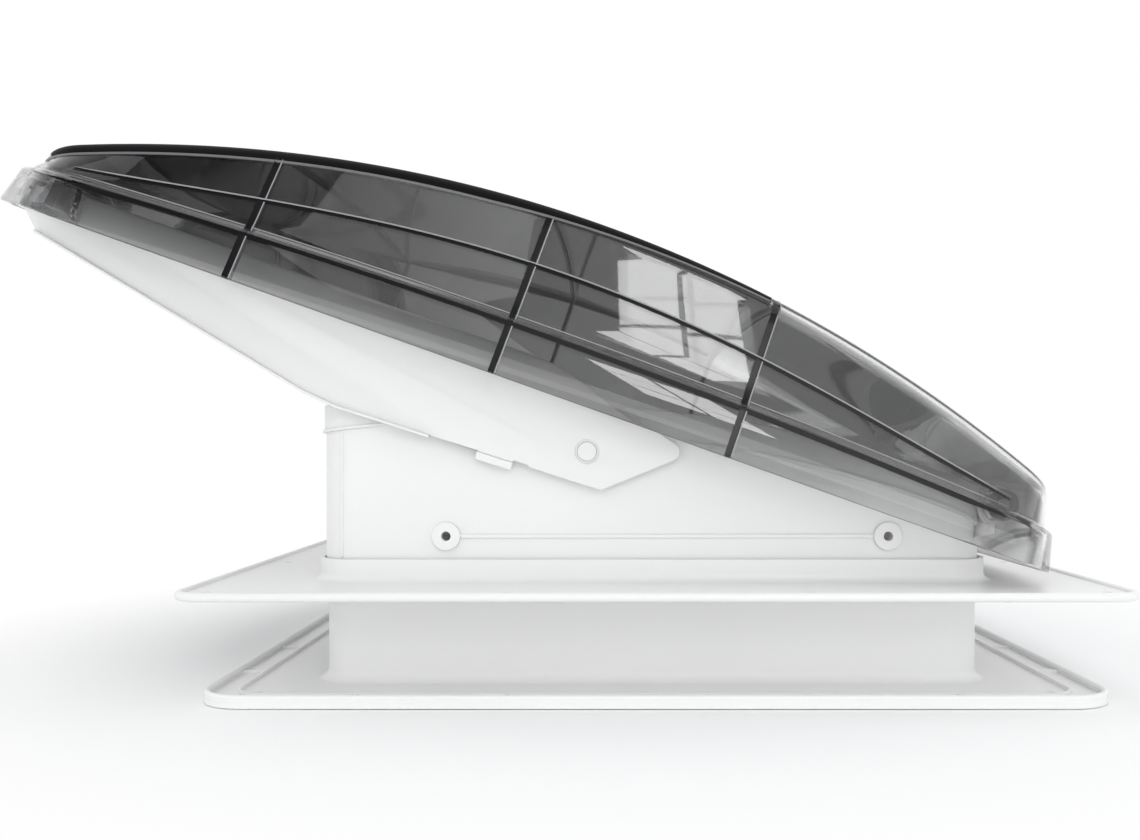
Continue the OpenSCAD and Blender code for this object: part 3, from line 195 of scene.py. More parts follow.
def colour_drift() -> EffectGroup:
    """Builds slow changes of colour over a surface, with dust on faces that look up.

    Returns:
        The group, with the output Colour.
    """
    group = EffectGroup("colour_drift", {
        "Colour": (0.8, 0.8, 0.8, 1.0), "Second": (0.75, 0.75, 0.75, 1.0), "Scale": 9.0, "Dust": 0.05,
    }, {"Colour": Socket.COLOUR})
    given = group.given
    place = group.add("ShaderNodeTexCoord").outputs["Object"]
    cloud = group.add("ShaderNodeTexNoise", {
        "Vector": place, "Scale": given["Scale"], "Detail": 5.0}).outputs["Fac"]
    clean = group.add("ShaderNodeMix", {
        "Factor": cloud, "A": given["Colour"], "B": given["Second"]}, data_type="RGBA")
    facing = group.add("ShaderNodeNewGeometry").outputs["Normal"]
    split = group.add("ShaderNodeSeparateXYZ", {"Vector": facing})
    upward = group.math("MULTIPLY", split.outputs["Z"], cloud, clamp=True)
    amount = group.math("MULTIPLY", upward, given["Dust"], clamp=True)
    dusty = group.add("ShaderNodeMix", {
        "Factor": amount, "A": clean.outputs["Result"], "B": (0.58, 0.56, 0.52, 1.0)}, data_type="RGBA")
    group.feed(group.sink, {"Colour": dusty.outputs["Result"]})
    return group


def edge_wear() -> EffectGroup:
    """Builds a paler line along sharp outer edges, broken up by noise.

    Returns:
        The group, with the output Colour.
    """
    group = EffectGroup("edge_wear", {
        "Colour": (0.5, 0.5, 0.5, 1.0), "Worn": (0.8, 0.8, 0.8, 1.0), "Amount": 0.3,
    }, {"Colour": Socket.COLOUR})
    given = group.given
    shape = group.add("ShaderNodeNewGeometry").outputs["Pointiness"]
    ramp = group.add("ShaderNodeMapRange", {"Value": shape, "From Min": 0.52, "From Max": 0.62})
    place = group.add("ShaderNodeTexCoord").outputs["Object"]
    chips = group.add("ShaderNodeTexNoise", {"Vector": place, "Scale": 160.0})
    broken = group.math("MULTIPLY", ramp.outputs["Result"], chips.outputs["Fac"], clamp=True)
    amount = group.math("MULTIPLY", broken, given["Amount"], clamp=True)
    mix = group.add("ShaderNodeMix", {
        "Factor": amount, "A": given["Colour"], "B": given["Worn"]}, data_type="RGBA")
    group.feed(group.sink, {"Colour": mix.outputs["Result"]})
    return group


class Finishes:
    """The shared node groups, and each finish's material, made once."""

    def __init__(self) -> None:
        """Builds each group once."""
        self.grain = moulded_grain()
        self.drift = colour_drift()
        self.wear = edge_wear()

    @cache
    def get(self, finish: "Finish") -> bpy.types.Material:
        """Returns a finish's material, made at its first use."""
        return finish.material(self)


# Finishes


def shade(colour: Sequence[float], factor: float = 1.0) -> tuple[float, float, float, float]:
    """Returns a colour made lighter or darker by a factor."""
    return tuple(min(1.0, part * factor) for part in colour[:3]) + (1.0,)


@dataclass(frozen=True)
class SolidFinish:
    """Moulded plastic, rubber or metal with grain, slow colour drift and worn edges."""

    name: str
    colour: Point
    rough: float
    spread: float = 0.08
    grain_scale: float = 900.0
    grain_depth: float = 0.00003
    drift: float = 0.95
    drift_scale: float = 9.0
    dust: float = 0.04
    wear: float = 0.2
    worn: float = 1.08
    coat: float = 0.0
    specular: float = 0.5
    metallic: float = 0.0
    edge_mm: float = 0.5

    def material(self, shared: Finishes) -> bpy.types.Material:
        """Builds the material.

        Args:
            shared: The shared node groups.

        Returns:
            The material.
        """
        graph = MaterialGraph(self.name)
        edge = graph.add("ShaderNodeBevel", {"Radius": self.edge_mm * MM})
        grain = graph.place(shared.grain, {
            "Scale": self.grain_scale, "Depth": self.grain_depth, "Rough": self.rough, "Spread": self.spread,
            "Normal": edge.outputs["Normal"]})
        drift = graph.place(shared.drift, {
            "Colour": shade(self.colour), "Second": shade(self.colour, self.drift),
            "Scale": self.drift_scale, "Dust": self.dust})
        wear = graph.place(shared.wear, {
            "Colour": drift["Colour"], "Worn": shade(self.colour, self.worn), "Amount": self.wear})
        graph.feed(graph.bsdf, {
            "Base Color": wear["Colour"], "Roughness": grain["Roughness"], "Normal": grain["Normal"],
            "Metallic": self.metallic, "Coat Weight": self.coat, "Coat Roughness": 0.12,
            "Specular IOR Level": self.specular})
        return graph.material


@dataclass(frozen=True)
class SmokedFinish:
    """Clear smoked plastic, darker where it is thicker, with painted light: a paler, clearer tint where its
    mesh's share of painted light is high.
    """

    name: str
    tint: Point
    # Tint where the share of painted light is 1: painted light on the wall
    pale: Point
    shadow: float
    density: float
    coat: float = 0.6
    rough: float = 0.015

    def material(self, shared: Finishes) -> bpy.types.Material:
        """Builds the material.

        Args:
            shared: The shared node groups.

        Returns:
            The material.
        """
        graph = MaterialGraph(self.name)
        drift = graph.place(shared.drift, {
            "Colour": shade(self.tint), "Second": shade(self.tint, 0.9), "Scale": 5.0, "Dust": 0.0})
        grain = graph.place(shared.grain, {"Rough": self.rough, "Spread": 0.02})
        # Painted light: each point's share makes the tint paler
        clear = graph.add("ShaderNodeAttribute", attribute_name=PAINTED_LIGHT_SHARE).outputs["Fac"]
        tint = graph.add("ShaderNodeMix", {
            "Factor": clear, "A": drift["Colour"], "B": shade(self.pale)}, data_type="RGBA")
        # Painted light: above a share of 0.9 the wall is also made partly see-through
        cover = graph.add("ShaderNodeMapRange", {
            "Value": clear, "From Min": 0.9, "To Min": 1.0, "To Max": 0.3})
        graph.feed(graph.bsdf, {
            "Base Color": tint.outputs["Result"], "Alpha": cover.outputs["Result"],
            "Roughness": grain["Roughness"], "Transmission Weight": 1.0, "IOR": 1.49,
            "Coat Weight": self.coat})
        depth = graph.add("ShaderNodeVolumeAbsorption", {
            "Color": (0.0, 0.0, 0.0, 1.0), "Density": self.density})
        path = graph.add("ShaderNodeLightPath")
        passing = graph.add("ShaderNodeBsdfTransparent", {"Color": (self.shadow,) * 3 + (1.0,)})
        mix = graph.add("ShaderNodeMixShader", {
            "Fac": path.outputs["Is Shadow Ray"], 1: graph.bsdf.outputs["BSDF"], 2: passing.outputs["BSDF"]})
        graph.feed(graph.output, {"Surface": mix.outputs["Shader"], "Volume": depth.outputs["Volume"]})
        return graph.material


Finish = SolidFinish | SmokedFinish

WHITE = SolidFinish("white_moulding", (0.86, 0.86, 0.855), 0.3, coat=0.15, drift=0.975)
WHITE_GRAINED = SolidFinish("white_grained", (0.9, 0.9, 0.895), 0.42, grain_scale=1400.0,
                            grain_depth=0.00006, drift=0.97)
SEAL = SolidFinish("seal_foam", (0.03, 0.03, 0.03), 0.85, grain_scale=2500.0, grain_depth=0.0002,
                   drift=0.6, dust=0.2, wear=0.1, worn=2.0, specular=0.2)
BLACK = SolidFinish("black_moulding", (0.03, 0.03, 0.033), 0.5, grain_scale=1600.0, grain_depth=0.0001,
                    drift=0.8, wear=0.4, worn=2.5)
FAN_GREY = SolidFinish("fan_satin", (0.56, 0.57, 0.58), 0.38, drift=0.93, dust=0.1)
WEAVE = SolidFinish("screen_weave", (0.26, 0.27, 0.28), 0.55, grain_scale=3000.0, grain_depth=0.0002,
                    drift=0.8, dust=0.25)
KEYS = SolidFinish("key_caps", (0.46, 0.47, 0.48), 0.6, grain_scale=2200.0, grain_depth=0.0001)
BOARD = SolidFinish("board_lacquer", (0.03, 0.16, 0.07), 0.25, grain_scale=400.0, drift=0.7, coat=0.5)
# Smoked wall; its pale colour is painted light, spread by the lid mesh's share
SMOKE = SmokedFinish("smoked_clear", (0.06, 0.06, 0.062), (0.97, 0.975, 0.98), 0.7, 8.0)
SMOKE_THIN = SmokedFinish("smoked_thin", (0.7, 0.7, 0.71), (0.85, 0.86, 0.87), 0.7, 6.0)
RIB_DARK = SolidFinish("rib_dark", (0.006, 0.006, 0.007), 0.2, wear=0.0, dust=0.0, drift=0.8, specular=0.3)
# Painted shade: a dark band for the dark look of the dome's rounded edge
EDGE_PAINTED_SHADE = SolidFinish("edge_painted_shade", (0.006, 0.006, 0.007), 0.5, wear=0.0, dust=0.0, drift=0.8,
                        specular=0.06)
# Painted highlight: the pale lines by the cross ribs, over the side rib and over the step
RIB_PAINTED_HIGHLIGHT = SolidFinish("rib_painted_highlight", (0.36, 0.36, 0.37), 0.15, wear=0.0, dust=0.0)
# Painted highlight: the paler band in the dome's rounded edge
EDGE_PAINTED_HIGHLIGHT = SolidFinish("edge_painted_highlight", (0.16, 0.16, 0.163), 0.3, wear=0.0, dust=0.0)
STEEL = SolidFinish("zinc_steel", (0.62, 0.63, 0.65), 0.35, spread=0.2, grain_scale=500.0,
                    grain_depth=0.00002, drift=0.8, drift_scale=60.0, dust=0.05, wear=0.0, metallic=1.0,
                    edge_mm=0.3)

FINISHED_NODES: dict[Finish, tuple[str, ...]] = {
    SEAL: ("collar_seal",),
    STEEL: ("hinge_pins", "hinge_screws", "gear_bracket_screws", "duct_screws", "motor_can", "motor_screws",
            "tab_screws", "guide_pins", "worm_shaft", "knob_screw", "motor_shaft", "hub_nut"),
    BLACK: ("shaft_bushes", "motor_cap", "key_panel", "worm_wheel"),
    WEAVE: ("screen_mesh",),
    KEYS: ("key_1", "key_2", "key_3", "key_4"),
    BOARD: ("control_board",),
    SMOKE_THIN: ("hinge_bosses", "lid_guides"),
    WHITE_GRAINED: ("screen_frame", "ceiling_trim"),
    WHITE: ("cross_shaft", "gear_bracket", "motor_bracket", "fan_duct", "screen_tab_1", "screen_tab_2",
            "screen_tab_3", "screen_tab_4", "roof_flange", "fan_housing", "housing_throat", "hinge_brackets",
            "lift_knob"),
}


# Shapes


@dataclass(frozen=True)
class Fade:
    """A share that grows softly over a span."""

    share: float
    start: float
    span: float

    def at(self, place: float) -> float:
        """Returns how much of the share is reached at a place."""
        f = min(1.0, max(0.0, (place - self.start) / self.span))
        return self.share * f * f * (3 - 2 * f)


def quarter(steps: int) -> list[float]:
    """Returns the turns of a quarter circle in even steps, in radians."""
    return [math.pi / 2 * k / steps for k in range(steps + 1)]


def blend(pairs: Sequence[Pair], share: float) -> list[float]:
    """Returns the values at a share of the way from each pair's first value to its second."""
    return [a + (b - a) * share for a, b in pairs]


def even_points(line: Sequence[Pair], count: int) -> list[Pair]:
    """Spreads points evenly along a line.

    Args:
        line: Corners of the line.
        count: Number of points wanted.

    Returns:
        The points, ends included.
    """
    reach = [0.0, *accumulate(math.dist(a, b) for a, b in zip(line, line[1:]))]
    goals = np.linspace(0.0, reach[-1], count)
    return list(zip(*(np.interp(goals, reach, axis) for axis in zip(*line))))


def tube_faces(rings: int, n: int, base: int = 0, closed: bool = False) -> list[Face]:
    """Joins rings of points by four-sided faces.

    Args:
        rings: Number of rings.
        n: Points in each ring.
        base: Index of the first ring's first point.
        closed: True if the last ring meets the first.

    Returns:
        The faces.
    """
    faces = []
    for k in range(rings if closed else rings - 1):
        a, b = base + k * n, base + (k + 1) % rings * n
        faces += [[a + j, a + (j + 1) % n, b + (j + 1) % n, b + j] for j in range(n)]
    return faces


def link_mesh(name: str, points: Sequence[Point], faces: Sequence[Face],
              sharp: float = 180.0) -> bpy.types.Object:
    """Makes a smooth mesh object in the scene.

    Args:
        name: Name of the piece.
        points: Vertices in metres.
        faces: Vertex indices of each face.
        sharp: Angle from which edges stay hard, in degrees.

    Returns:
        The new object.
    """
    mesh = bpy.data.meshes.new(name)
    mesh.from_pydata(points, [], faces)
    mesh.validate()
    made = bpy.data.objects.new(name, mesh)
    bpy.context.scene.collection.objects.link(made)
    sheet = bmesh.new()
    sheet.from_mesh(mesh)
    bmesh.ops.recalc_face_normals(sheet, faces=sheet.faces)
    sheet.to_mesh(mesh)
    sheet.free()
    mesh.shade_smooth()
    mesh.set_sharp_from_angle(angle=math.radians(sharp))
    return made


def bar_mesh(name: str, sections: Sequence[Sequence[Point]]) -> bpy.types.Object:
    """Joins sections into a closed bar.

    Args:
        name: Name of the piece.
        sections: Points round the bar at each of its stations.

    Returns:
        The new object.
    """
    n = len(sections[0])
    last = n * (len(sections) - 1)
    faces = tube_faces(len(sections), n) + [list(range(n))[::-1], list(range(last, last + n))]
    return link_mesh(name, [point for section in sections for point in section], faces, BAR_SHARP)


def settle(made: bpy.types.Object, material: bpy.types.Material, body: Body, slot: str, *nodes: str) -> None:
    """Gives a piece its material, lets it ride on a body, and hides the CAD nodes that it stands for.

    Args:
        made: The piece.
        material: Its material.
        body: The body that carries it.
        slot: The record's material slot; not used.
        nodes: CAD nodes that it stands for.
    """
    made.data.materials.append(material)
    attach(made, body.value)
    if nodes:
        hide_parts(*nodes)
    LOG.info("piece %s on %s", made.name, body.value)


# Pieces


@dataclass(frozen=True)
class LidRow:
    """One ring round the lid: its insets, corner radius, level and rise."""

    side: float
    end: float
    corner: float
    level: float
    rise: float


@dataclass
class Lid:
    """The smoked lid: skirt, step, arched dome and its ribs. Sizes in millimetres, turns in degrees."""

    finishes: Finishes
    length: float = 588.0
    width: float = 419.0
    wall: float = 3.0
    bottom_r: float = 0.9
    skirt_h: float = 30.0
    skirt_in: float = 30.0 * math.tan(math.radians(8.0))
    skirt_end: float = 1.5
    step_w: float = 5.0
    step_r: float = 4200.0
    foot: float = 2.6
    inner_foot: float = 1.6
    dome_h: float = 93.985
    dome_r: float = 735.0
    dome_shift: float = 10.0
    crown: float = 6.0
    corner_r: float = 33.0
    skirt_loss: float = 3.0
    step_loss: float = 6.0
    side_loss: float = 3.0
    side_lean: float = 8.0
    end_lean: float = 1.0
    edge_r: float = 8.0
    end_edge: float = 4.0
    hinge_from_front: float = 39.0
    hinge_up: float = 25.0
    hinge_x: float = 181.0
    hinge_z: float = 44.7
    slope: float = 19.6
    sharp: float = 50.0

    # Cross ribs with the painted highlight strip beside each, and the lines along the sides (dark ribs and
    # painted highlight lines) as height and depth
    rib_places: tuple[float, ...] = (-160.0, -17.0, 110.0)
    rib_w: float = 3.2
    rib_d: float = 2.2
    rib_painted_highlight_w: float = 0.6
    rib_painted_highlight_ahead: float = 2.2
    taper: float = 0.7
    proud: float = 0.12
    side_rib: Pair = (2.2, 4.4)
    side_line: Pair = (0.8, 1.0)
    step_rib: Pair = (2.8, 4.2)
    step_line: Pair = (0.6, 1.0)
    rail_end: float = 256.0
    rail_tip: float = 0.25
    rail_taper: float = 30.0
    side_low: float = 0.18
    side_arch: float = 0.34
    side_span: float = 265.0
    side_line_off: Pair = (-0.2, 1.5)
    step_rib_under: float = 2.9

    # Painted bands in the dome's edge, painted shade above and a painted highlight below: turns of the upper
    # and lower border at the rear and at the front rib
    band_rear: Pair = (75.0, 15.0)
    band_front: Pair = (75.0, 48.0)
    painted_highlight_rear: Pair = (13.0, 3.0)
    painted_highlight_front: Pair = (46.0, 38.0)
    band_in: float = 0.8
    band_turn_from: float = -50.0
    band_tip: float = 0.2
    band_taper: int = 5

    # Painted light: how much paler and clearer the tint is made where the lid looks lighter
    dome_painted_light: float = 0.01
    dome_fade: Fade = Fade(0.29, -240.0, 240.0)
    skirt_painted_light: float = 0.4
    skirt_fades: tuple[Fade, ...] = (Fade(0.24, 40.0, 160.0), Fade(0.2, 150.0, 60.0))
    skirt_under: Fade = Fade(1.0, -1.0, 5.0)
    rear_end: Fade = Fade(1.0, 266.0, 7.0)
    front_end: Fade = Fade(1.0, 274.0, 7.0)
    end_across: Fade = Fade(1.0, 145.0, 20.0)
    edge_along: Fade = Fade(0.9, 106.0, 10.0)
    edge_up: Fade = Fade(1.0, -9.6, 1.6)
    edge_across: Fade = Fade(1.0, 182.0, 3.0)

    # Fineness of the mesh
    side_shares: tuple[float, ...] = (0.2, 0.4, 0.6, 0.8, 0.95)
    edge_share: Fade = Fade(1.0, 1.9, 0.1)
    edge_steps: int = 6
    inner_steps: int = 4
    side_steps: int = 64
    corner_steps: int = 14
    across: int = 20
    section_steps: int = 16
    rib_steps: int = 90
    rail_steps: int = 80
    band_steps: int = 4

    def world(self, c: float, v: float, t: float) -> Point:
        """Turns a lid point into the shared frame.

        Args:
            c: Distance ahead of the lid's middle.
            v: Distance across the lid.
            t: Height over the bottom edge.

        Returns:
            The point in metres.
        """
        turn = math.radians(self.slope)
        p = c + self.hinge_from_front - self.length / 2
        q = t - self.hinge_up
        x = self.hinge_x + p * math.cos(turn) + q * math.sin(turn)
        z = self.hinge_z - p * math.sin(turn) + q * math.cos(turn)
        return (x * MM, v * MM, z * MM)

    def step_t(self, c: float) -> float:
        """Returns the height of the step line."""
        return self.skirt_h - c * c / (2 * self.step_r)

    def dome_edge(self, c: float) -> float:
        """Returns the height of the dome's side edge."""
        return self.dome_h - self.dome_r + math.sqrt(self.dome_r ** 2 - (c - self.dome_shift) ** 2)

    def level_t(self, level: float, c: float) -> float:
        """Returns the height of a level: 0 bottom edge, 1 step, 2 dome's side edge."""
        step = self.step_t(c)
        return level * step if level <= 1 else step + (self.dome_edge(c) - step) * (level - 1)

    def side_rise(self, f: float, foot: float) -> float:
        """Returns how far the dome's side stands off its level, from its foot to the edge."""
        return foot * (1 - f) - self.edge_r * f

    def side_rows(self, inset: float, foot: float) -> list[LidRow]:
        """Returns the rings of the dome's side, drawn in from its outer face by an inset."""
        step_in, r = self.skirt_in + self.step_w + inset, self.corner_r - inset - self.step_loss
        return [LidRow(step_in + self.side_lean * f, step_in + self.end_lean * f, r - self.side_loss * f,
                       1 + f, self.side_rise(f, foot)) for f in self.side_shares]

    def outer_rows(self) -> list[LidRow]:
        """Lists the rings of the outer face.

        Returns:
            Rings from the bottom edge to the dome's roof.
        """
        skirt = self.skirt_in
        step_in = skirt + self.step_w
        r = self.corner_r
        rows = [LidRow(inset, inset, r - loss, level, rise) for inset, loss, level, rise in (
            (self.bottom_r, self.bottom_r, 0, 0.0), (0.25, 0.25, 0, 0.25), (0.0, 0.0, 0, self.bottom_r),
            (skirt, self.skirt_loss, 1, -self.skirt_end), (skirt + 0.45, 3.3, 1, -0.4),
            (skirt + 1.5, 4.0, 1, 0.1), (step_in - 1.8, 5.0, 1, 0.6), (step_in - 0.5, 5.7, 1, 1.2),
            (step_in, self.step_loss, 1, self.foot))]
        return rows + self.side_rows(0.0, self.foot) + [
            self.edge_row(math.degrees(a), self.edge_r) for a in quarter(self.edge_steps)]

    def edge_row(self, degrees: float, radius: float) -> LidRow:
        """Makes a ring on the dome's rounded edge.

        Args:
            degrees: Turn round the edge, 0 at the side and 90 at the roof.
            radius: Distance from the middle of the rounding.

        Returns:
            The ring.
        """
        a = math.radians(degrees)
        step_in = self.skirt_in + self.step_w
        inset = self.edge_r - radius * math.cos(a)
        return LidRow(step_in + self.side_lean + inset,
                      step_in + self.end_lean + self.end_edge * inset / self.edge_r,
                      self.corner_r - self.step_loss - self.side_loss - inset, 2,
                      radius * math.sin(a) - self.edge_r)

    def inner_rows(self) -> list[LidRow]:
        """Lists the rings of the inner face.

        Returns:
            Rings from the bottom edge to the dome's roof.
        """
        w = self.wall
        skirt = self.skirt_in + w
        step_in = skirt + self.step_w
        r = self.corner_r - w
        rows = [LidRow(inset, inset, r - loss, level, rise - w) for inset, loss, level, rise in (
            (w, 0.0, 0, w), (skirt, self.skirt_loss, 1, -self.skirt_end), (skirt + 0.6, 3.4, 1, -0.2),
            (step_in - 0.6, 5.6, 1, 0.6), (step_in, self.step_loss, 1, self.inner_foot))]
        rows += self.side_rows(w, self.inner_foot - w)
        for a in quarter(self.inner_steps):
            bend = 1 - math.cos(a)
            side = (self.edge_r - w) * bend
            rows.append(LidRow(step_in + self.side_lean + side,
                               step_in + self.end_lean + (self.end_edge - w) * bend,
                               r - self.step_loss - self.side_loss - side, 2,
                               (self.edge_r - w) * math.sin(a) - self.edge_r))
        return rows

    def half_ring(self, row: LidRow) -> list[Pair]:
        """Draws one side of a ring.

        Args:
            row: The ring.

        Returns:
            Places along and across the lid, from the rear end to the front end.
        """
        half = self.length / 2 - row.end
        w = self.width / 2 - row.side
        r = max(row.corner, 1.0)
        rear = [(r - half - r * math.cos(a), w - r + r * math.sin(a)) for a in quarter(self.corner_steps)]
        start, stop = rear[-1][0], -rear[-1][0]
        side = [(start + (stop - start) * k / self.side_steps, w) for k in range(1, self.side_steps)]
        front = [(-c, v) for c, v in reversed(rear)]
        return rear + side + front

    def ring(self, row: LidRow) -> list[Point]:
        """Draws a whole ring.

        Args:
            row: The ring.

        Returns:
            Its lid points.
        """
        half = self.half_ring(row)
        end = self.length / 2 - row.end
        spans = [half[0][1] * (2 * i / self.across - 1) for i in range(1, self.across)]
        places = [(c, -v) for c, v in half] + [(end, v) for v in spans]
        places += [(c, v) for c, v in reversed(half)] + [(-end, v) for v in reversed(spans)]
        return [(c, v, self.level_t(row.level, c) + row.rise) for c, v in places]

    def roof_t(self, row: LidRow, c: float, share: float) -> float:
        """Returns the height of the crowned roof inside a ring, at a share of its half width."""
        lift = self.crown * (1 - share * share) * (1 - (c / (self.length / 2 - row.end)) ** 4)
        return self.level_t(row.level, c) + row.rise + lift

    def roof(self, row: LidRow) -> list[Point]:
        """Returns the lid points of the crowned roof inside a ring."""
        shares = [2 * i / self.across - 1 for i in range(1, self.across)]
        return [(c, s * v, self.roof_t(row, c, s)) for c, v in self.half_ring(row)[1:-1] for s in shares]

    def roof_faces(self, ring_base: int, inner_base: int, m: int) -> list[Face]:
        """Joins a roof's points to the ring round it.

        Args:
            ring_base: Index of the ring's first point.
            inner_base: Index of the first point inside it.
            m: Points on one side of the ring.

        Returns:
            Four-sided faces.
        """
        inside = self.across - 1
        lines = [[inner_base + (j - 1) * inside + i for i in range(inside)] for j in range(m)]
        lines[0] = [ring_base + 2 * (m + inside) - 1 - i for i in range(inside)]
        lines[-1] = [ring_base + m + i for i in range(inside)]
        lines = [[ring_base + j, *line, ring_base + m + inside + m - 1 - j] for j, line in enumerate(lines)]
        return [[a[i], a[i + 1], b[i + 1], b[i]]
                for a, b in zip(lines, lines[1:]) for i in range(self.across)]

    def shell(self) -> None:
        """Builds the closed wall of the lid."""
        outer = self.outer_rows()
        inner = self.inner_rows()
        rows = list(reversed(inner)) + outer
        points = [point for row in rows for point in self.ring(row)]
        n = len(points) // len(rows)
        m = len(self.half_ring(rows[0]))
        faces = tube_faces(len(rows), n)
        for row, ring_base in ((inner[-1], 0), (outer[-1], (len(rows) - 1) * n)):
            faces += self.roof_faces(ring_base, len(points), m)
            points += self.roof(row)
        made = link_mesh("lid_wall", [self.world(*point) for point in points], faces, self.sharp)
        # Painted light: each point's share of paler, clearer tint
        mask = made.data.attributes.new(PAINTED_LIGHT_SHARE, "FLOAT", "POINT")
        mask.data.foreach_set("value", [self.painted_light_share(*point) for point in points])
        settle(made, self.finishes.get(SMOKE), Body.LID, "smoked_plastic", "lid_shell")

    def painted_light_share(self, c: float, v: float, t: float) -> float:
        """Finds the share of painted light at a place: how much paler and clearer the tint is made where the
        lid looks lighter.

        Args:
            c: Place along the lid.
            v: Place across it.
            t: Height over the bottom edge.

        Returns:
            The share of painted light, from 0 in the dome's rear to 1 at the lid's ends.
        """
        dome = self.dome_painted_light + self.dome_fade.at(c)
        skirt = self.skirt_painted_light + sum(fade.at(c) for fade in self.skirt_fades)
        skirt *= self.skirt_under.at(self.step_t(c) - t)
        end = (self.rear_end if c < 0 else self.front_end).at(abs(c)) * self.end_across.at(abs(v))
        edge = self.edge_along.at(c) * self.edge_up.at(t - self.dome_edge(c)) * self.edge_across.at(abs(v))
        return max(dome, skirt, end, edge)

    def section(self, c: float, rows: list[LidRow], gap: float) -> list[Pair]:
        """Draws the wall's section at a place along the lid.

        Args:
            c: Place along the lid.
            rows: Rings of the outer or the inner face.
            gap: Distance kept inside that face, or outside it if below 0.

        Returns:
            Distances across and heights, from one bottom edge over the roof to the other.
        """
        side = [(self.width / 2 - row.side - gap, self.level_t(row.level, c) + row.rise
                 - gap * self.edge_share.at(row.level) * (1 + row.rise / self.edge_r)) for row in rows]
        half = self.width / 2 - rows[-1].side
        shares = [1 - 2 * i / self.section_steps for i in range(1, self.section_steps)]
        roof = [(-half * share, self.roof_t(rows[-1], c, share) - gap) for share in shares]
        return [(-v, t) for v, t in side] + roof + side[::-1]

    def bar(self, name: str, sections: list[list[Point]], finish: SolidFinish) -> None:
        """Joins sections of lid points into a closed bar on the lid."""
        made = bar_mesh(name, [[self.world(*point) for point in section] for section in sections])
        settle(made, self.finishes.get(finish), Body.LID, "smoked_plastic")

    def side_bars(self, name: str, sections: list[list[Point]], finish: SolidFinish) -> None:
        """Joins sections of lid points into a closed bar on each side of the lid."""
        for side, sign in SIDES:
            self.bar(f"{name}_{side}", [[(c, sign * v, t) for c, v, t in row] for row in sections], finish)

    def cross_rib(self, name: str, c: float, width: float, finish: SolidFinish) -> None:
        """Builds one bar across the lid, through its wall, from above the rounded bottom edge. It serves for
        the ribs and for the painted highlight strips beside them.

        Args:
            name: Name of the piece.
            c: Place along the lid.
            width: Width of the bar.
            finish: Its finish.
        """
        half = width / 2
        thin = half * self.taper
        outer = even_points(self.section(c, self.outer_rows()[2:], -self.proud), self.rib_steps)
        deep = even_points(self.section(c, self.inner_rows(), self.rib_d), self.rib_steps)
        self.bar(name, [[(c - half, *a), (c + half, *a), (c + thin, *b), (c - thin, *b)]
                        for a, b in zip(outer, deep)], finish)

    def rail(self, name: str, place: Callable[[float], Pair], size: Pair, finish: SolidFinish) -> None:
        """Builds a thin bar along each side of the lid, through its wall.

        Args:
            name: Name of the pieces.
            place: Gives the distance across and the height on the outer face for a place along the lid.
            size: Height of the bar and how far it goes in.
            finish: Its finish.
        """
        height, depth = size
        sections = []
        for k in range(self.rail_steps + 1):
            c = self.rail_end * (2 * k / self.rail_steps - 1)
            v, t = place(c)
            half = height / 2 * min(1.0, self.rail_tip + (self.rail_end - abs(c)) / self.rail_taper)
            thin = half * self.taper
            sections.append([(c, v + self.proud, t - half), (c, v + self.proud, t + half),
                             (c, v - depth, t + thin), (c, v - depth, t - thin)])
        self.side_bars(name, sections, finish)

    def side_place(self, c: float) -> Pair:
        """Returns the place of the rib along the dome's side."""
        f = self.side_low + self.side_arch * (1 - (c / self.side_span) ** 2)
        return (self.width / 2 - self.skirt_in - self.step_w - self.side_lean * f,
                self.level_t(1 + f, c) + self.side_rise(f, self.foot))

    def side_painted_highlight(self, c: float) -> Pair:
        """Returns the place of the painted highlight line over the side rib."""
        v, t = self.side_place(c)
        return v + self.side_line_off[0], t + self.side_line_off[1]

    def step_place(self, c: float) -> Pair:
        """Returns the place of the dark line under the step."""
        t, top = self.step_t(c) - self.step_rib_under, self.step_t(c) - self.skirt_end
        return self.width / 2 - self.skirt_in * (t - self.bottom_r) / (top - self.bottom_r), t

    def step_painted_highlight(self, c: float) -> Pair:
        """Returns the place of the painted highlight line over the step."""
        return self.width / 2 - self.skirt_in - self.step_w, self.step_t(c) + self.foot

    def painted_edge_band(self, name: str, rear: Pair, front: Pair, finish: SolidFinish) -> None:
        """Builds a painted band in each of the dome's side edges, from the rear corner to the front cross
        rib; its finish makes it painted shade for the dark band and a painted highlight for the pale one.

        Args:
            name: Name of the pieces.
            rear: Turns of its upper and lower border round the edge at the rear.
            front: The same turns at the front cross rib.
            finish: Its finish.
        """
        deep = self.edge_r - self.wall - self.band_in
        stop = self.rib_places[-1]
        start = self.band_turn_from
        places = [c for c, _ in self.half_ring(self.edge_row(rear[1], self.edge_r))]
        first = self.corner_steps // 3
        last = max(k for k, c in enumerate(places) if c < stop)
        sections = []
        for k in range(first, last + 1):
            share = min(1.0, max(0.0, (places[k] - start) / (stop - start)))
            high, low = blend(tuple(zip(rear, front)), share)
            spread = (low - high) * min(1.0, self.band_tip + (k - first) / self.band_taper)
            turns = [high + spread * j / self.band_steps for j in range(self.band_steps + 1)]
            rows = [self.edge_row(turn, self.edge_r + self.proud) for turn in turns]
            rows += [self.edge_row(turn, deep) for turn in reversed(turns)]
            spots = [(*self.half_ring(row)[k], row.rise) for row in rows]
            sections.append([(c, v, self.dome_edge(c) + rise) for c, v, rise in spots])
        self.side_bars(name, sections, finish)

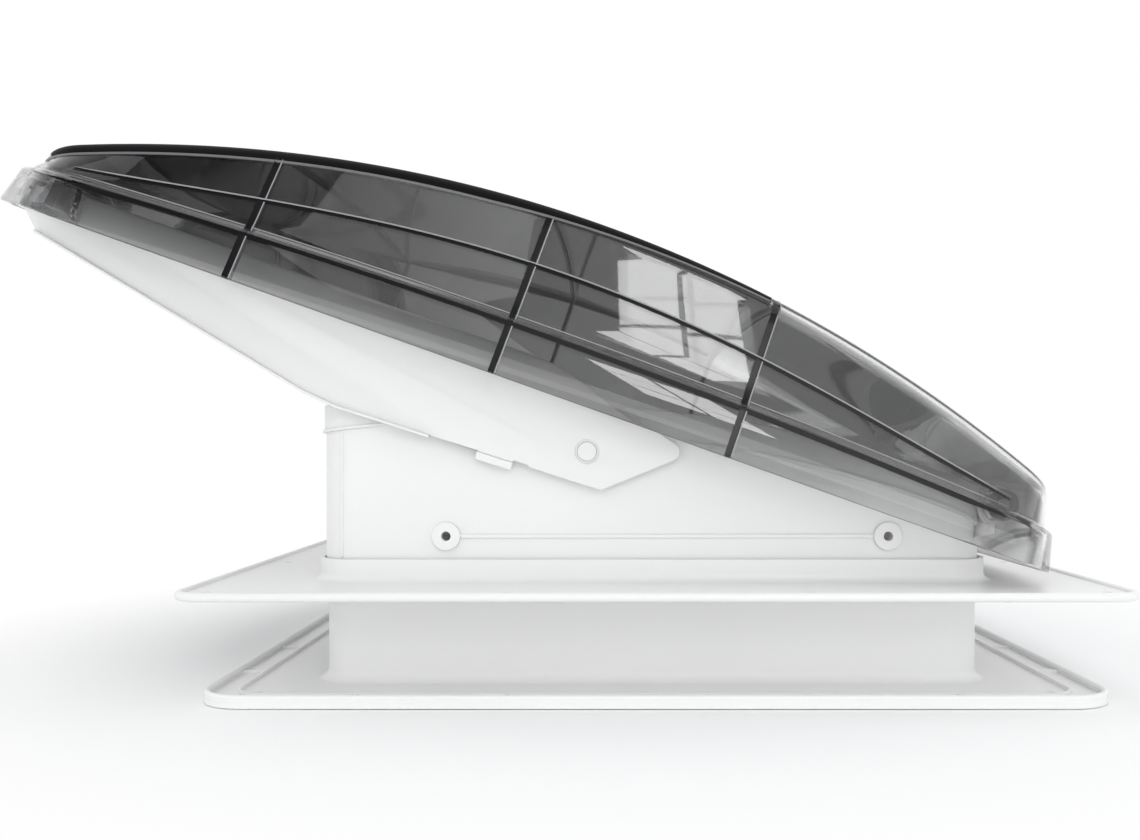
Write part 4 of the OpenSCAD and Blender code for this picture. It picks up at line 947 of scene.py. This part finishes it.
    def build(self) -> None:
        """Builds the shell, its ribs, the painted highlights by the ribs and the step, and the painted shade
        and highlight bands in the dome's edges.
        """
        self.shell()
        for index, c in enumerate(self.rib_places):
            self.cross_rib(f"lid_cross_rib_{index + 1}", c, self.rib_w, RIB_DARK)
            # Painted highlight: a pale strip just ahead of each rib
            self.cross_rib(f"lid_cross_painted_highlight_{index + 1}", c + self.rib_painted_highlight_ahead, self.rib_painted_highlight_w,
                           RIB_PAINTED_HIGHLIGHT)
        self.rail("lid_side_rib", self.side_place, self.side_rib, RIB_DARK)
        # Painted highlight: a pale line over the side rib
        self.rail("lid_side_painted_highlight", self.side_painted_highlight, self.side_line, RIB_PAINTED_HIGHLIGHT)
        self.rail("lid_step_line", self.step_place, self.step_rib, RIB_DARK)
        # Painted highlight: a pale line over the step
        self.rail("lid_step_painted_highlight", self.step_painted_highlight, self.step_line, RIB_PAINTED_HIGHLIGHT)
        # Painted shade: a dark band in each rounded edge of the dome
        self.painted_edge_band("lid_top_painted_shade", self.band_rear, self.band_front, EDGE_PAINTED_SHADE)
        # Painted highlight: a paler band below the painted shade
        self.painted_edge_band("lid_edge_painted_highlight", self.painted_highlight_rear, self.painted_highlight_front, EDGE_PAINTED_HIGHLIGHT)


@dataclass
class FanRotor:
    """The fan's rotor: a hub with a round nose, and swept, bowed blades. Millimetres and degrees."""

    finishes: Finishes
    fan_r: float = 152.0
    hub_r: float = 44.0
    hub_h: float = 46.0
    hub_t: float = 3.0
    nose: float = 8.0
    rim: float = 0.8
    boss_r: float = 9.0
    boss_h: float = 10.0
    bore_r: float = 3.05
    root_in: float = 1.5
    chords: Pair = (44.0, 62.0)
    pitches: Pair = (38.0, 22.0)
    half_ts: Pair = (1.3, 0.8)
    camber: float = 0.09
    edge_t: float = 0.3
    tip_loss: Fade = Fade(0.14, 0.9, 0.1)
    sweep: float = 14.0
    blades: int = 10
    rows: int = 20
    columns: int = 12
    steps: int = 96
    nose_steps: int = 8
    sharp: float = 35.0

    def profile(self) -> list[Pair]:
        """Draws the hub's section.

        Returns:
            Radii and heights over its lower face.
        """
        nose = [(self.hub_r - self.nose * (1 - math.sin(a)), self.nose * (1 - math.cos(a)))
                for a in quarter(self.nose_steps)]
        inside = self.hub_r - self.hub_t
        top = self.hub_h - self.rim
        return [(self.bore_r, 0.0)] + nose + [
            (self.hub_r, top), (self.hub_r - self.rim, self.hub_h), (inside + self.rim, self.hub_h),
            (inside, top), (inside, self.nose), (inside - self.nose, self.nose),
            (inside - self.nose, self.hub_t), (self.boss_r, self.hub_t), (self.boss_r, self.boss_h),
            (self.bore_r, self.boss_h)]

    def blade_point(self, f: float, u: float, side: float) -> Point:
        """Finds a point of a blade.

        Args:
            f: Share of the way from the hub to the tip.
            u: Share of the chord.
            side: 1 on the upper face, -1 on the lower face.

        Returns:
            Radius, turn in radians and height over the hub's half height.
        """
        r = self.hub_r - self.root_in + f * (self.fan_r - self.hub_r + self.root_in)
        chord, pitch, half_t = blend((self.chords, self.pitches, self.half_ts), f)
        chord *= 1 - self.tip_loss.at(f)
        tilt = math.radians(pitch)
        bow = 1 - (2 * u - 1) ** 2
        s = (u - 0.5) * chord
        n = self.camber * chord * bow + side * half_t * (self.edge_t + (1 - self.edge_t) * bow)
        turn = (s * math.cos(tilt) + n * math.sin(tilt)) / r + math.radians(self.sweep * f * f)
        return r, turn, n * math.cos(tilt) - s * math.sin(tilt)

    def blade_faces(self, base: int) -> list[Face]:
        """Returns the four-sided faces of the blade whose first point has an index."""
        n, ends = 2 * self.columns + 2, (base, base + (2 * self.columns + 2) * self.rows)
        return tube_faces(self.rows + 1, n, base) + [
            [s + j, s + j + 1, s + n - 2 - j, s + n - 1 - j] for s in ends for j in range(self.columns)]

    def build(self) -> None:
        """Builds the hub and the blades as one piece."""
        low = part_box("fan_rotor")[0].z / MM
        section = self.profile()
        spots = [(r, math.tau * k / self.steps, low + z) for k in range(self.steps) for r, z in section]
        faces = tube_faces(self.steps, len(section), closed=True)
        chord = [(j / self.columns, 1) for j in range(self.columns + 1)]
        chord += [(u, -1) for u, _ in reversed(chord)]
        for blade in range(self.blades):
            faces += self.blade_faces(len(spots))
            for i in range(self.rows + 1):
                for u, side in chord:
                    r, turn, z = self.blade_point(i / self.rows, u, side)
                    spots.append((r, turn + math.tau * blade / self.blades, low + self.hub_h / 2 + z))
        points = [(r * math.cos(a) * MM, r * math.sin(a) * MM, z * MM) for r, a, z in spots]
        made = link_mesh("rotor", points, faces, self.sharp)
        settle(made, self.finishes.get(FAN_GREY), Body.FAN, "fan_grey", "fan_rotor")


@dataclass
class RainShield:
    """The rain shield with rounded edges, and the tab under each of its panels. Millimetres and degrees."""

    finishes: Finishes
    node: str = "rain_shield"
    slot: str = "white_plastic"
    weld: float = 0.002
    flat: float = 0.4
    edge_r: float = 0.5
    edge_steps: int = 3
    edge_angle: float = 32.0
    sharp: float = 40.0
    tab_rear: Pair = (-93.0, 72.96)
    tab_front: Pair = (-74.0, 66.87)
    tab_h: float = 4.5
    tab_root: float = 1.0
    tab_r: float = 1.2
    tab_steps: int = 4
    tab_outer: float = 184.8
    tab_inner: float = 182.7
    tab_edges: tuple[Pair, ...] = ((0.5, 0.0), (0.15, 0.15), (0.0, 0.5))

    def moulding(self) -> None:
        """Builds a copy of the CAD moulding whose edges are rounded over, as a mould leaves them."""
        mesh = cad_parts[self.node].data.copy()
        mesh.materials.clear()
        form = bmesh.new()
        form.from_mesh(mesh)
        bmesh.ops.remove_doubles(form, verts=form.verts, dist=self.weld * MM)
        bmesh.ops.dissolve_limit(form, angle_limit=math.radians(self.flat), verts=form.verts,
                                 edges=form.edges)
        form.to_mesh(mesh)
        form.free()
        made = bpy.data.objects.new(f"moulded_{self.node}", mesh)
        bpy.context.scene.collection.objects.link(made)
        bevel = made.modifiers.new("edges", "BEVEL")
        bevel.width = self.edge_r * MM
        bevel.segments = self.edge_steps
        bevel.limit_method = "ANGLE"
        bevel.angle_limit = math.radians(self.edge_angle)
        bevel.use_clamp_overlap = False
        bevel.miter_outer = "MITER_ARC"
        scene_now = bpy.context.evaluated_depsgraph_get()
        rounded = bpy.data.meshes.new_from_object(made.evaluated_get(scene_now))
        made.modifiers.clear()
        made.data = rounded
        rounded.name = made.name
        rounded.shade_smooth()
        rounded.set_sharp_from_angle(angle=math.radians(self.sharp))
        settle(made, self.finishes.get(WHITE), Body.SHIELD, self.slot, self.node)

    def tab_section(self, inset: float, y: float) -> list[Point]:
        """Draws a tab's outline at a distance across the vent.

        Args:
            inset: How far the outline's free sides are drawn in.
            y: Distance across the vent.

        Returns:
            Points in metres.
        """
        length = math.dist(self.tab_rear, self.tab_front)
        along, down = ((b - a) / length for a, b in zip(self.tab_rear, self.tab_front))
        r = self.tab_r
        rear = [(0.0, -self.tab_root)]
        rear += [(r - r * math.cos(a), self.tab_h - r + r * math.sin(a)) for a in quarter(self.tab_steps)]
        points = []
        for s, d in rear + [(length - s, d) for s, d in reversed(rear)]:
            s = length / 2 + (s - length / 2) * (1 - 2 * inset / length)
            d = d * (1 - inset / self.tab_h) if d > 0 else d
            x = self.tab_rear[0] + along * s + down * d
            z = self.tab_rear[1] + down * s - along * d
            points.append((x * MM, y * MM, z * MM))
        return points

    def build(self) -> None:
        """Builds the moulding and its tabs."""
        self.moulding()
        for side, sign in SIDES:
            spots = [(inset, self.tab_outer - deep) for inset, deep in self.tab_edges]
            spots += [(inset, self.tab_inner + deep) for inset, deep in reversed(self.tab_edges)]
            sections = [self.tab_section(inset, sign * y) for inset, y in spots]
            settle(bar_mesh(f"shield_edge_tab_{side}", sections), self.finishes.get(WHITE), Body.SHIELD,
                   self.slot)


@dataclass
class CadDress:
    """Gives every CAD node that stays its finish."""

    finishes: Finishes

    def build(self) -> None:
        """Puts the finishes on the nodes' material slots."""
        for finish, names in FINISHED_NODES.items():
            material = self.finishes.get(finish)
            for name in names:
                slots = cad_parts[name].data.materials
                if not slots:
                    slots.append(material)
                for index in range(len(slots)):
                    slots[index] = material
                LOG.info("node %s in %s", name, finish.name)


# Studio


@dataclass(frozen=True)
class Lamp:
    """A soft rectangular lamp: its place, the size of its face, its watts and the point that it faces."""

    name: str
    at: Point
    size: Pair
    power: float
    aim: Point

    def build(self) -> None:
        """Places the lamp."""
        data = bpy.data.lights.new(self.name, "AREA")
        data.shape = "RECTANGLE"
        data.size, data.size_y = self.size
        data.energy = self.power
        made = bpy.data.objects.new(self.name, data)
        bpy.context.scene.collection.objects.link(made)
        made.location = self.at
        made.rotation_euler = (Vector(self.aim) - Vector(self.at)).to_track_quat("-Z", "Y").to_euler()


@dataclass
class Studio:
    """Pale floor, soft lamps and the camera. Sizes in metres."""

    floor_z: float = -0.0535
    floor_half: float = 30.0
    floor_fade: Pair = (0.27, 0.5)
    ambient: float = 0.95
    room_depth: Pair = (0.1, -0.5)
    room_tones: tuple[Pair, ...] = (
        (0.0, 1.0), (0.28, 0.5), (0.325, 0.03), (0.365, 0.03), (0.385, 0.3), (0.4, 0.3), (0.42, 0.08),
        (0.47, 0.2), (0.56, 0.45), (0.72, 0.6))
    lamps: tuple[Lamp, ...] = (
        Lamp("key_lamp", (-0.4, -0.9, 2.0), (1.2, 1.0), 2.4, (0.0, 0.0, 0.05)),
        Lamp("fill_lamp", (1.4, -1.1, 0.9), (1.0, 1.0), 1.0, (0.0, 0.0, 0.05)),
        Lamp("top_lamp", (0.0, 0.4, 1.7), (1.6, 1.2), 1.6, (0.0, 0.0, 0.0)),
        Lamp("low_lamp", (0.0, -1.7, 0.13), (2.2, 0.3), 2.4, (0.0, 0.0, 0.0)),
        Lamp("wall_panel", (-0.25, -1.8, 0.93), (0.45, 0.7), 0.9, (0.0, -0.17, 0.15)),
    )
    window_at: Point = (0.41, -2.2, 0.87)
    window_aim: Point = (0.0, -0.17, 0.12)
    pane_pitch: Pair = (0.19, 0.17)
    pane_size: Pair = (0.17, 0.15)
    pane_power: float = 0.5
    lens: float = 36.3
    sensor: float = 36.0
    shift: Pair = (-0.0307, 0.0219)
    near: float = 0.01
    camera_at: Point = (-0.0255, -0.7905, 0.076)

    def floor(self) -> None:
        """Makes the pale floor, which turns to plain white far from the vent."""
        corners = [(x * self.floor_half, y * self.floor_half, self.floor_z)
                   for x, y in ((-1, -1), (1, -1), (1, 1), (-1, 1))]
        made = link_mesh("floor", corners, [[0, 1, 2, 3]])
        graph = MaterialGraph("pale_floor")
        graph.feed(graph.bsdf, {"Base Color": (0.93, 0.93, 0.93, 1.0), "Roughness": 0.9})
        place = graph.add("ShaderNodeTexCoord").outputs["Object"]
        far = graph.add("ShaderNodeVectorMath", {0: place}, operation="LENGTH")
        fade = graph.add("ShaderNodeMapRange", {
            "Value": far.outputs["Value"], "From Min": self.floor_fade[0], "From Max": self.floor_fade[1]})
        path = graph.add("ShaderNodeLightPath").outputs
        seen = graph.math("MAXIMUM", path["Is Camera Ray"], path["Is Glossy Ray"])
        through = graph.math("MAXIMUM", seen, path["Is Transmission Ray"])
        amount = graph.math("MULTIPLY", fade.outputs["Result"], through)
        glow = graph.add("ShaderNodeEmission")
        mix = graph.add("ShaderNodeMixShader", {
            "Fac": amount, 1: graph.bsdf.outputs["BSDF"], 2: glow.outputs["Emission"]})
        graph.feed(graph.output, {"Surface": mix.outputs["Shader"]})
        made.data.materials.append(graph.material)

    def world(self) -> None:
        """Sets a white background, an even light and a dim room behind the camera for reflections."""
        made = bpy.data.worlds.new("studio")
        bpy.context.scene.world = made
        made.use_nodes = True
        graph = Graph(made.node_tree)
        light = graph.tree.nodes["Background"]
        graph.feed(light, {"Color": (0.98, 0.99, 1.0, 1.0), "Strength": self.ambient})
        white = graph.add("ShaderNodeBackground", {"Color": (1.0, 1.0, 1.0, 1.0), "Strength": 1.0})
        place = graph.add("ShaderNodeTexCoord").outputs["Generated"]
        split = graph.add("ShaderNodeSeparateXYZ", {"Vector": place})
        across = graph.add("ShaderNodeMapRange", {"Value": split.outputs["X"], "From Min": -1.0})
        tone = graph.add("ShaderNodeValToRGB", {"Fac": across.outputs["Result"]})
        stops = tone.color_ramp.elements
        for spot, level in self.room_tones:
            stop = stops[0] if spot == 0.0 else stops.new(spot)
            stop.position = spot
            stop.color = (level, level, level, 1.0)
        behind = graph.add("ShaderNodeMapRange", {
            "Value": split.outputs["Y"], "From Min": self.room_depth[0], "From Max": self.room_depth[1]})
        wall = graph.add("ShaderNodeMix", {
            "Factor": behind.outputs["Result"], "A": (1.0, 1.0, 1.0, 1.0), "B": tone.outputs["Color"],
        }, data_type="RGBA")
        room = graph.add("ShaderNodeBackground", {"Color": wall.outputs["Result"]})
        path = graph.add("ShaderNodeLightPath").outputs
        plain = graph.add("ShaderNodeMixShader", {
            "Fac": path["Is Glossy Ray"], 1: light.outputs["Background"], 2: room.outputs["Background"]})
        through = graph.math("MAXIMUM", path["Is Camera Ray"], path["Is Transmission Ray"])
        mix = graph.add("ShaderNodeMixShader", {
            "Fac": through, 1: plain.outputs["Shader"], 2: white.outputs["Background"]})
        graph.feed(graph.tree.nodes["World Output"], {"Surface": mix.outputs["Shader"]})

    def window(self) -> None:
        """Places the six panes of the window that the lid mirrors."""
        x, y, z = self.window_at
        wide, high = self.pane_pitch
        for row in range(3):
            for column in range(2):
                at = (x + wide * (column - 0.5), y, z + high * (row - 1))
                Lamp(f"window_pane_{row}_{column}", at, self.pane_size, self.pane_power,
                     self.window_aim).build()

    def camera(self) -> None:
        """Places the camera level, square to the vent's side."""
        data = bpy.data.cameras.new("camera")
        data.lens = self.lens
        data.sensor_width = self.sensor
        data.shift_x, data.shift_y = self.shift
        data.clip_start = self.near
        made = bpy.data.objects.new("camera", data)
        bpy.context.scene.collection.objects.link(made)
        made.location = self.camera_at
        made.rotation_euler = (math.pi / 2, 0.0, 0.0)
        bpy.context.scene.camera = made

    def build(self) -> None:
        """Sets up the whole studio."""
        self.floor()
        self.world()
        for lamp in self.lamps:
            lamp.build()
        self.window()
        self.camera()
        bpy.context.scene.view_settings.view_transform = "Standard"


def main() -> None:
    """Builds the studio and the vent's sub-assemblies in order."""
    logging.basicConfig(level=logging.INFO, format="%(message)s")
    Studio().build()
    finishes = Finishes()
    CadDress(finishes).build()
    Lid(finishes).build()
    FanRotor(finishes).build()
    RainShield(finishes).build()


if __name__ == "__main__":
    main()
